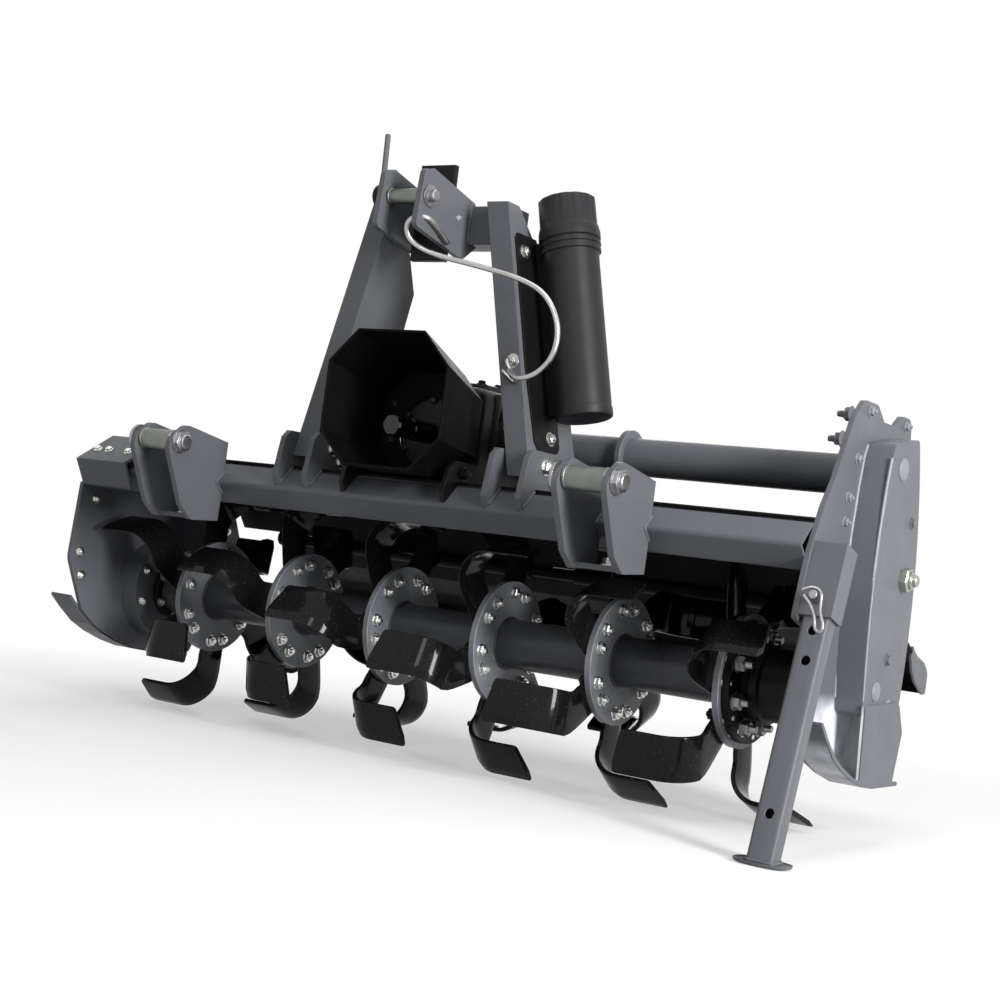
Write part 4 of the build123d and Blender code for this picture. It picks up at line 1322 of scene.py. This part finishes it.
class TILLER_OT_stand(Operator):
    """Parking stand: a drilled square tube on a dished foot, with its locking pin and spring clip"""
    bl_idname = "tiller.stand"
    bl_label = "Parking stand"

    def execute(self, context):
        place = leg_place()
        turn = place.to_3x3()
        side, up, forward = turn @ Vector(RIGHT), turn @ Vector(UP), turn @ Vector(FORWARD)
        self.make_leg(place, forward)
        self.make_foot(place)

        pin = bmesh.new()
        front = place @ Vector((0, -0.0305, -LEG_HOLES[0]))
        head, shank = 0.0112, 0.0063
        lathe(pin, [(-0.062, 0.0100), (-0.0605, head), (-0.0560, head), (-0.0548, shank), (0.0100, shank),
                    (0.0115, 0.0052)], front, forward, 32)
        from_bmesh("stand_pin", pin, "pin", BODY, radians(35))
        knot = front + forward * 0.0065
        clip = [knot + side * x + up * z + forward * y for x, z, y in STAND_CLIP]
        rod("stand_clip", clip, 0.0023, "pin", 12)
        return {"FINISHED"}

    def make_leg(self, place, forward):
        width, depth, cap_gap = 0.038, 0.030, 0.004
        shape = bmesh.new()
        rings = []
        for wall, corner in ((0, 0.005), (LEG_WALL, 0.002)):
            section = rounded_ring(width - 2 * wall, depth - 2 * wall, corner)
            top = [shape.verts.new(place @ Vector((x, y, -cap_gap))) for x, y in section]
            foot = [shape.verts.new(on_foot(place, x, y, cap_gap)) for x, y in section]
            rings.append((top, foot))
        (outer_top, outer_foot), (inner_top, inner_foot) = rings
        join_rings(shape, [outer_top, outer_foot, inner_foot, inner_top, outer_top])
        cutter = bmesh.new()
        for along in LEG_HOLES:
            start = place @ Vector((0, 0.030, -along))
            lathe(cutter, [(0.0, 0.0068), (0.060, 0.0068)], start, forward, 28)
        leg = cut("drilled_leg", shape, cutter, "frame", "stand", radians(32))
        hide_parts("stand_leg")

    def make_foot(self, place):
        floor = low("stand_foot").z
        flattening = 0.35
        shape = bmesh.new()
        upper = [dished_ring(shape, share, floor + FOOT_THICKNESS + rise * flattening)
                 for share, rise, _ in FOOT_RINGS]
        under = [dished_ring(shape, share, floor + drop) for share, _, drop in FOOT_RINGS]
        close_rings(shape, upper + under[::-1])
        foot = from_bmesh("dished_foot", shape, "frame", "stand", radians(40))
        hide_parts("stand_foot")
        section = rounded_ring(0.0395, 0.0315, 0.005)
        run = [on_foot(place, x, y) for x, y in [*section, section[0]]]
        weld("foot_weld", [run], 0.0026, "frame", "stand")


# ---------------------------------------------------------------- plates and their fasteners
# bolts on the side plates: y and z from the rotor's axis
RIGHT_PLATE_BOLTS = [(-0.069, 0.338), (-0.088, 0.281), (-0.090, 0.246), (-0.040, 0.410), (0.110, 0.408)]
THROUGH_NUTS = [(-0.089, 0.398), (-0.112, 0.360)]
LEFT_PLATE_BOLTS = [(-0.190, 0.010), (-0.200, 0.052), (-0.178, 0.150), (0.150, 0.020), (0.176, 0.120)]
GUSSET_BOLTS = (-0.668, -0.640, -0.592)
GUSSET_FACING = (0, -0.537, 0.844)
# seams of the chain case on the right plate, front and rear, from below: y and z
FRONT_SEAM = [(-0.047, 0.000), (-0.054, 0.060), (-0.0595, 0.120), (-0.0615, 0.180), (-0.0585, 0.240),
              (-0.0520, 0.300), (-0.0440, 0.345), (-0.0365, 0.362)]
REAR_SEAM = [(0.0950, 0.000), (0.1010, 0.080), (0.1025, 0.160), (0.0985, 0.240), (0.0870, 0.310),
             (0.0650, 0.372)]
# where weld beads cross the front beam: y and z
FOOT_SEAM = [(-0.205, 0.214), (-0.193, 0.2255), (-0.178, 0.2405)]
CLEVIS_SEAM = [(-0.196, 0.222), (-0.2135, 0.204), (-0.196, 0.186)]
FOOT_PLATE_SIDES = (0.172, 0.182, 0.234, 0.244)
BEAD = 0.0026


def plate_places(x, pairs, way):
    return [(beside_rotor(x, pair), way) for pair in pairs]


def facing_out(side):
    return (side, 0, 0)


class TILLER_OT_plates(Operator):
    """Bolts and weld beads on the side plates, the clevises and the mast's feet"""
    bl_idname = "tiller.plates"
    bl_label = "Plate bolts and welds"

    def execute(self, context):
        self.bolt_side_plates()
        self.bolt_frame(context.scene.tiller_fasteners.frame_bolt_size)
        self.weld_beam()
        self.weld_housing()
        self.weld_mast()
        return {"FINISHED"}

    def bolt_side_plates(self):
        outer, inner = high("side_plate_right").x, low("side_plate_right").x
        places = plate_places(outer, RIGHT_PLATE_BOLTS, RIGHT)
        # these bolt heads take the grey lightened as a painted highlight
        bolts("plate_bolts", places, 0.0066, 0.0050, 0.0086, 0.003, "highlit_grey", BODY)
        places = plate_places(inner, THROUGH_NUTS, LEFT)
        bolts("plate_nuts", places, 0.0100, 0.009, 0.0120, 0.010, "dark_bolt", BODY)
        outer, drum = low("side_plate_left").x, high("side_plate_left").x
        places = plate_places(outer + SIDE_PLATE, LEFT_PLATE_BOLTS, RIGHT) + rotor_circle(drum, 0.074, 8, 20)
        bolts("left_plate_bolts", places, 0.0070, 0.005, 0.0088, 0.002, "bolt")
        bolts("left_plate_nuts", plate_places(outer, LEFT_PLATE_BOLTS, LEFT), 0.0070, 0.005, 0.0088, 0.003,
              "bolt")

    def bolt_frame(self, size):
        places = [(spot(x, -0.2055, 0.2390), GUSSET_FACING) for x in GUSSET_BOLTS]
        bolts("gusset_bolts", places, 0.0062, 0.0045, 0.0080, 0.001, "bolt")
        feet, straps, mounts = [], [], []
        for side in (-1, 1):
            for x, way in ((FOOT_PLATE_SIDES[-1], 1), (FOOT_PLATE_SIDES[0], -1)):
                for y, z in ((-0.155, 0.281), (-0.130, 0.262)):
                    feet.append((spot(side * x, y, z), facing_out(side * way)))
            straps.append((spot(side * LINK_SPAN / 2 + 0.015, -0.244, 0.144), UP))
            for y in (-0.165, -0.085):
                mounts.append((spot(side * 0.103, y, 0.258), facing_out(side)))
        bolts("mast_foot_bolts", feet, size, 0.0075, 0.0135, 0.004, "bolt")
        bolts("clevis_strap_bolts", straps, 0.0125, 0.009, 0.0150, 0.006, "worn_bolt")
        bolts("gearbox_mount_bolts", mounts, 0.0085, 0.006, 0.0110, 0.004, "black_bolt", BODY)

    def weld_beam(self):
        gap_sides = (LINK_SPAN / 2 - LOWER_GAP / 2, LINK_SPAN / 2 + LOWER_GAP / 2)
        clevis_sides = (gap_sides[0] - CLEVIS_PLATE, *gap_sides, gap_sides[1] + CLEVIS_PLATE)
        runs = []
        for side in (-1, 1):
            for sides, seam in ((FOOT_PLATE_SIDES, FOOT_SEAM), (clevis_sides, CLEVIS_SEAM)):
                runs += [[spot(side * x, y, z) for y, z in seam] for x in sides]
        weld("beam_welds", runs, BEAD)

    def weld_housing(self):
        plate, case = high("side_plate_right").x, high("chain_case").x
        lap = 0.5 * MM
        seams = [[beside_rotor(plate, (y - lap, z)) for y, z in FRONT_SEAM],
                 [beside_rotor(plate, (y + lap, z)) for y, z in REAR_SEAM],
                 [beside_rotor(case - 1.5 * MM, (y + 1 * MM, z)) for y, z in FRONT_SEAM[:-1]]]
        # these beads take the weld paint that is lightened as a painted highlight
        weld("housing_welds", seams, 0.0024, "bead")
        x = TOP_GAP / 2 + CLEVIS_PLATE + 0.4 * MM
        run = [spot(x, y, z) for y, z in ((-0.191, 0.655), (-0.186, 0.659), (-0.182, 0.660))]
        weld("clevis_weld", [run], 0.0040, "bead")

    def weld_mast(self):
        tube = middle("drive_tube")
        tube_end = low("side_plate_right").x - 0.0105
        runs = [circle_run((tube_end, tube.y, tube.z), half_height("drive_tube") + 1 * MM)]
        bar_low, bar_high = low("mast_crossbar"), high("mast_crossbar")
        inset = 2 * MM
        for x in (bar_low.x, bar_high.x):
            runs.append([(x, bar_low.y, bar_low.z + inset), (x, bar_low.y, bar_high.z - inset)])
        clevis_face = TOP_GAP / 2 + CLEVIS_PLATE
        for x in (-clevis_face, clevis_face):
            runs.append([spot(x, -0.1525, 0.626), spot(x, -0.1525, 0.684)])
        weld("mast_welds", runs, BEAD)


# pressed bosses on the chain case: y and z from the rotor's axis, radius, rise
BOSSES = [(0.004, 0.334, 0.0175, 0.0045), (-0.004, 0.014, 0.0150, 0.0045), (0.052, -0.006, 0.010, 0.0020)]
# along a boss and across it, as shares of its rise and of its radius
BOSS_PROFILE = [(0.0, 1.0), (0.5, 0.93), (0.85, 0.7), (1.0, 0.3)]
PLUGS = [(0.030, 0.060), (0.066, 0.262)]
# the tensioner's lock nut and stud: distance out from the case, and radius
TENSIONER_NUT = [(0.0120, 0.0125), (0.0128, 0.0132), (0.0165, 0.0132), (0.0175, 0.0090), (0.0225, 0.0086),
                 (0.0238, 0.0070)]


class TILLER_OT_housing(Operator):
    """Chain case: tensioner with its lock nut, pressed bosses and plugs"""
    bl_idname = "tiller.housing"
    bl_label = "Chain housing details"

    def execute(self, context):
        face = high("chain_case").x
        centre = middle("chain_tensioner")
        shape = bmesh.new()
        hexagon(shape, (face, centre.y, centre.z), 0.0185, 0.0130)
        lathe(shape, TENSIONER_NUT, (face, centre.y, centre.z), RIGHT, 32)
        piece = from_bmesh("tensioner_bolt", shape, "tensioner", BODY, radians(28))
        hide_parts("chain_tensioner")
        shape = bmesh.new()
        for y, z, radius, rise in BOSSES:
            profile = [(rise * out, radius * share) for out, share in BOSS_PROFILE]
            lathe(shape, profile, beside_rotor(face, (y, z)), RIGHT, 36)
        # the bosses take the grey lightened as a painted highlight
        from_bmesh("housing_bosses", shape, "highlit_grey", BODY, radians(50))
        bolts("housing_plugs", plate_places(face, PLUGS, RIGHT), 0.0075, 0.004, 0.0095, 0.0,
              "dark_bolt", BODY)
        return {"FINISHED"}


# ---------------------------------------------------------------- paint and plating
# the finish of each node of the frame, also of those that a finer piece replaces
NODE_FINISH = {
    # several finishes here stand in for light and shade: the right plate and skids are lightened in their
    # channel partly as painted light, the left plate and the flanges are lightened as painted light, the
    # rotor tubes are darkened as painted shade, and the hood, tailboard and hinges are black as painted shade
    "scoured_and_lit": ["side_plate_right", "skid_right", "skid_left"],
    "left": ["side_plate_left"],
    "frame": ["front_beam", "end_gusset_left", "lower_clevises", "mast_post_left", "mast_post_right",
              "mast_crossbar", "mast_feet", "top_clevis", "stand_sleeve", "stand_leg", "stand_foot",
              "drive_tube"],
    "case": ["chain_case"],
    "shield": ["pto_shield"],
    "guard": ["gearbox", "gearbox_mounts", "top_stop_plate", "canister_bracket", "rotor_hubs"],
    "hood": ["hood", "tailboard", "hood_hinges", "tailboard_hinges", "hinge_rod"],
    "rotor": ["rotor_tubes"],
    "flange": ["rotor_flanges"],
    "canister": ["document_canister"],
    "bush": ["hitch_bushes"],
    "pin": ["hitch_pins", "shaft_hanger", "chain_tensioner", "pto_shaft"],
    "tine": ["tines_left_hand", "tines_right_hand"],
}


class TILLER_OT_finish_nodes(Operator):
    """Give every piece of the frame its paint or plating"""
    bl_idname = "tiller.finish_nodes"
    bl_label = "Paint and plating"

    def execute(self, context):
        make_materials(context.scene.tiller_finish)
        finish_of = {node: finish for finish, nodes in NODE_FINISH.items() for node in nodes}
        for name, piece in NODES.items():
            piece.data.materials.clear()
            piece.data.materials.append(MATERIALS[finish_of[name]])
        return {"FINISHED"}


# ---------------------------------------------------------------- stage
FLOOR_HALF = 14.0
FLOOR_GREY = (0.42, 0.42, 0.43)
FLOOR_WHITE = (0.94, 0.94, 0.94)
SKY = (0.95, 0.97, 1.0, 1)
SKY_STRENGTH = 0.20
WHITE = (1, 1, 1, 1)
# lamp: place, aim, width, height, power in watts
LAMPS = {
    "side_softbox": ((3.3, -1.2, 1.2), (0.2, 0.0, 0.35), 0.7, 1.9, 165.0),
    "front_softbox": ((0.7, -2.7, 2.3), (-0.1, 0.0, 0.3), 0.7, 1.2, 18.0),
    "top_softbox": ((0.5, 0.0, 3.2), (0.1, 0.0, 0.3), 2.6, 1.8, 30.0),
    "back_softbox": ((-1.8, 3.0, 1.8), (0.0, 0.0, 0.4), 2.2, 1.6, 40.0),
}


def background_seen(tree):
    """1 for the rays that show the background: the camera's, and those of metal and glass."""
    path = add_node(tree, "ShaderNodeLightPath")
    gloss = scalar(tree, "MAXIMUM", path.outputs["Is Glossy Ray"], path.outputs["Is Transmission Ray"])
    return scalar(tree, "MAXIMUM", path.outputs["Is Camera Ray"], gloss)


def blend_shaders(tree, factor, first, second, surface):
    """Mixes two shaders into the surface socket of an output."""
    blend = add_node(tree, "ShaderNodeMixShader")
    for source, socket in ((factor, blend.inputs[0]), (first, blend.inputs[1]), (second, blend.inputs[2]),
                           (blend.outputs[0], surface)):
        tree.links.new(source, socket)


def make_floor():
    """A pale floor that fades to white away from the tiller."""
    material, tree, shader = shader_tree("Pale floor")
    seen = background_seen(tree)
    tree.links.new(mix_colour(tree, seen, FLOOR_GREY, FLOOR_WHITE), shader.inputs["Base Color"])
    shader.inputs["Roughness"].default_value = 0.9
    shader.inputs["Specular IOR Level"].default_value = 0.1
    glow = add_node(tree, "ShaderNodeEmission")
    glow.inputs["Color"].default_value = WHITE
    glow.inputs["Strength"].default_value = 1.0
    place = add_node(tree, "ShaderNodeNewGeometry")
    reach = add_node(tree, "ShaderNodeVectorMath", operation="LENGTH")
    tree.links.new(place.outputs["Position"], reach.inputs[0])
    per_five_metres = scalar(tree, "MULTIPLY", reach.outputs["Value"], 0.2)
    far = ramp(tree, per_five_metres, [(0.15, 0.42), (0.32, 1.0)])
    blend_shaders(tree, scalar(tree, "MULTIPLY", far, seen), shader.outputs[0], glow.outputs[0],
                  tree.nodes["Material Output"].inputs["Surface"])
    mesh = bpy.data.meshes.new("floor")
    corners = [(x * FLOOR_HALF, y * FLOOR_HALF, 0) for x, y in ((-1, -1), (1, -1), (1, 1), (-1, 1))]
    mesh.from_pydata(corners, [], [(0, 1, 2, 3)])
    mesh.materials.append(material)
    floor = bpy.data.objects.new("floor", mesh)
    bpy.context.scene.collection.objects.link(floor)


def make_world(scene):
    """Soft grey light all round, and white wherever the background shows."""
    world = bpy.data.worlds.new("Studio")
    scene.world = world
    world.use_nodes = True
    tree = world.node_tree
    background = tree.nodes["Background"]
    background.inputs["Color"].default_value = SKY
    background.inputs["Strength"].default_value = SKY_STRENGTH
    white = add_node(tree, "ShaderNodeBackground")
    white.inputs["Color"].default_value = WHITE
    white.inputs["Strength"].default_value = 1.0
    blend_shaders(tree, background_seen(tree), background.outputs[0], white.outputs[0],
                  tree.nodes["World Output"].inputs["Surface"])


def make_lights():
    for name, (place, aim, width, height, power) in LAMPS.items():
        lamp = bpy.data.lights.new(name, "AREA")
        lamp.shape = "RECTANGLE"
        lamp.size = width
        lamp.size_y = height
        lamp.energy = power
        holder = bpy.data.objects.new(name, lamp)
        holder.location = place
        holder.rotation_euler = (Vector(aim) - Vector(place)).to_track_quat("-Z", "Y").to_euler()
        bpy.context.scene.collection.objects.link(holder)


def make_camera(scene, stage):
    camera = bpy.data.cameras.new("Camera")
    camera.sensor_width = 36.0
    camera.lens = stage.lens
    camera.clip_end = 60.0
    holder = bpy.data.objects.new("Camera", camera)
    turn = Matrix.Rotation(stage.camera_turn, 4, "Z")
    lift = Matrix.Rotation(radians(90) + stage.camera_lift, 4, "X")
    roll = Matrix.Rotation(stage.camera_roll, 4, "Z")
    holder.matrix_world = Matrix.Translation(Vector(stage.camera_place)) @ turn @ lift @ roll
    scene.collection.objects.link(holder)
    scene.camera = holder


class TILLER_OT_stage(Operator):
    """Floor, backdrop, lights and camera"""
    bl_idname = "tiller.stage"
    bl_label = "Stage"

    def execute(self, context):
        make_floor()
        make_world(context.scene)
        make_lights()
        make_camera(context.scene, context.scene.tiller_stage)
        context.scene.view_settings.view_transform = "Standard"
        return {"FINISHED"}


class TILLER_PT_panel(Panel):
    """Lists the steps that finish the tiller"""
    bl_idname = "TILLER_PT_panel"
    bl_label = "Tiller"
    bl_space_type = "VIEW_3D"
    bl_region_type = "UI"
    bl_category = "Tiller"

    def draw(self, context):
        for operator in OPERATORS:
            self.layout.operator(operator.bl_idname)
        for name, group in GROUPS.items():
            for key in group.__annotations__:
                self.layout.prop(getattr(context.scene, name), key)


OPERATORS = [
    TILLER_OT_finish_nodes,
    TILLER_OT_tines,
    TILLER_OT_rotor,
    TILLER_OT_hitch,
    TILLER_OT_hanger,
    TILLER_OT_canister,
    TILLER_OT_gearbox,
    TILLER_OT_shield,
    TILLER_OT_drive_tube,
    TILLER_OT_tail,
    TILLER_OT_stand,
    TILLER_OT_plates,
    TILLER_OT_housing,
    TILLER_OT_stage,
]
GROUPS = {
    "tiller_finish": TillerFinish,
    "tiller_fasteners": TillerFasteners,
    "tiller_tines": TillerTines,
    "tiller_stage": TillerStage,
}


def register():
    for group in GROUPS.values():
        bpy.utils.register_class(group)
    for kind in (*OPERATORS, TILLER_PT_panel):
        bpy.utils.register_class(kind)
    for name, group in GROUPS.items():
        setattr(bpy.types.Scene, name, PointerProperty(type=group))


def unregister():
    for name in GROUPS:
        delattr(bpy.types.Scene, name)
    for kind in (TILLER_PT_panel, *reversed(OPERATORS)):
        bpy.utils.unregister_class(kind)
    for group in GROUPS.values():
        bpy.utils.unregister_class(group)


def main():
    register()
    for operator in OPERATORS:
        group, action = operator.bl_idname.split(".")
        getattr(getattr(bpy.ops, group), action)()


if __name__ == "__main__":
    main()
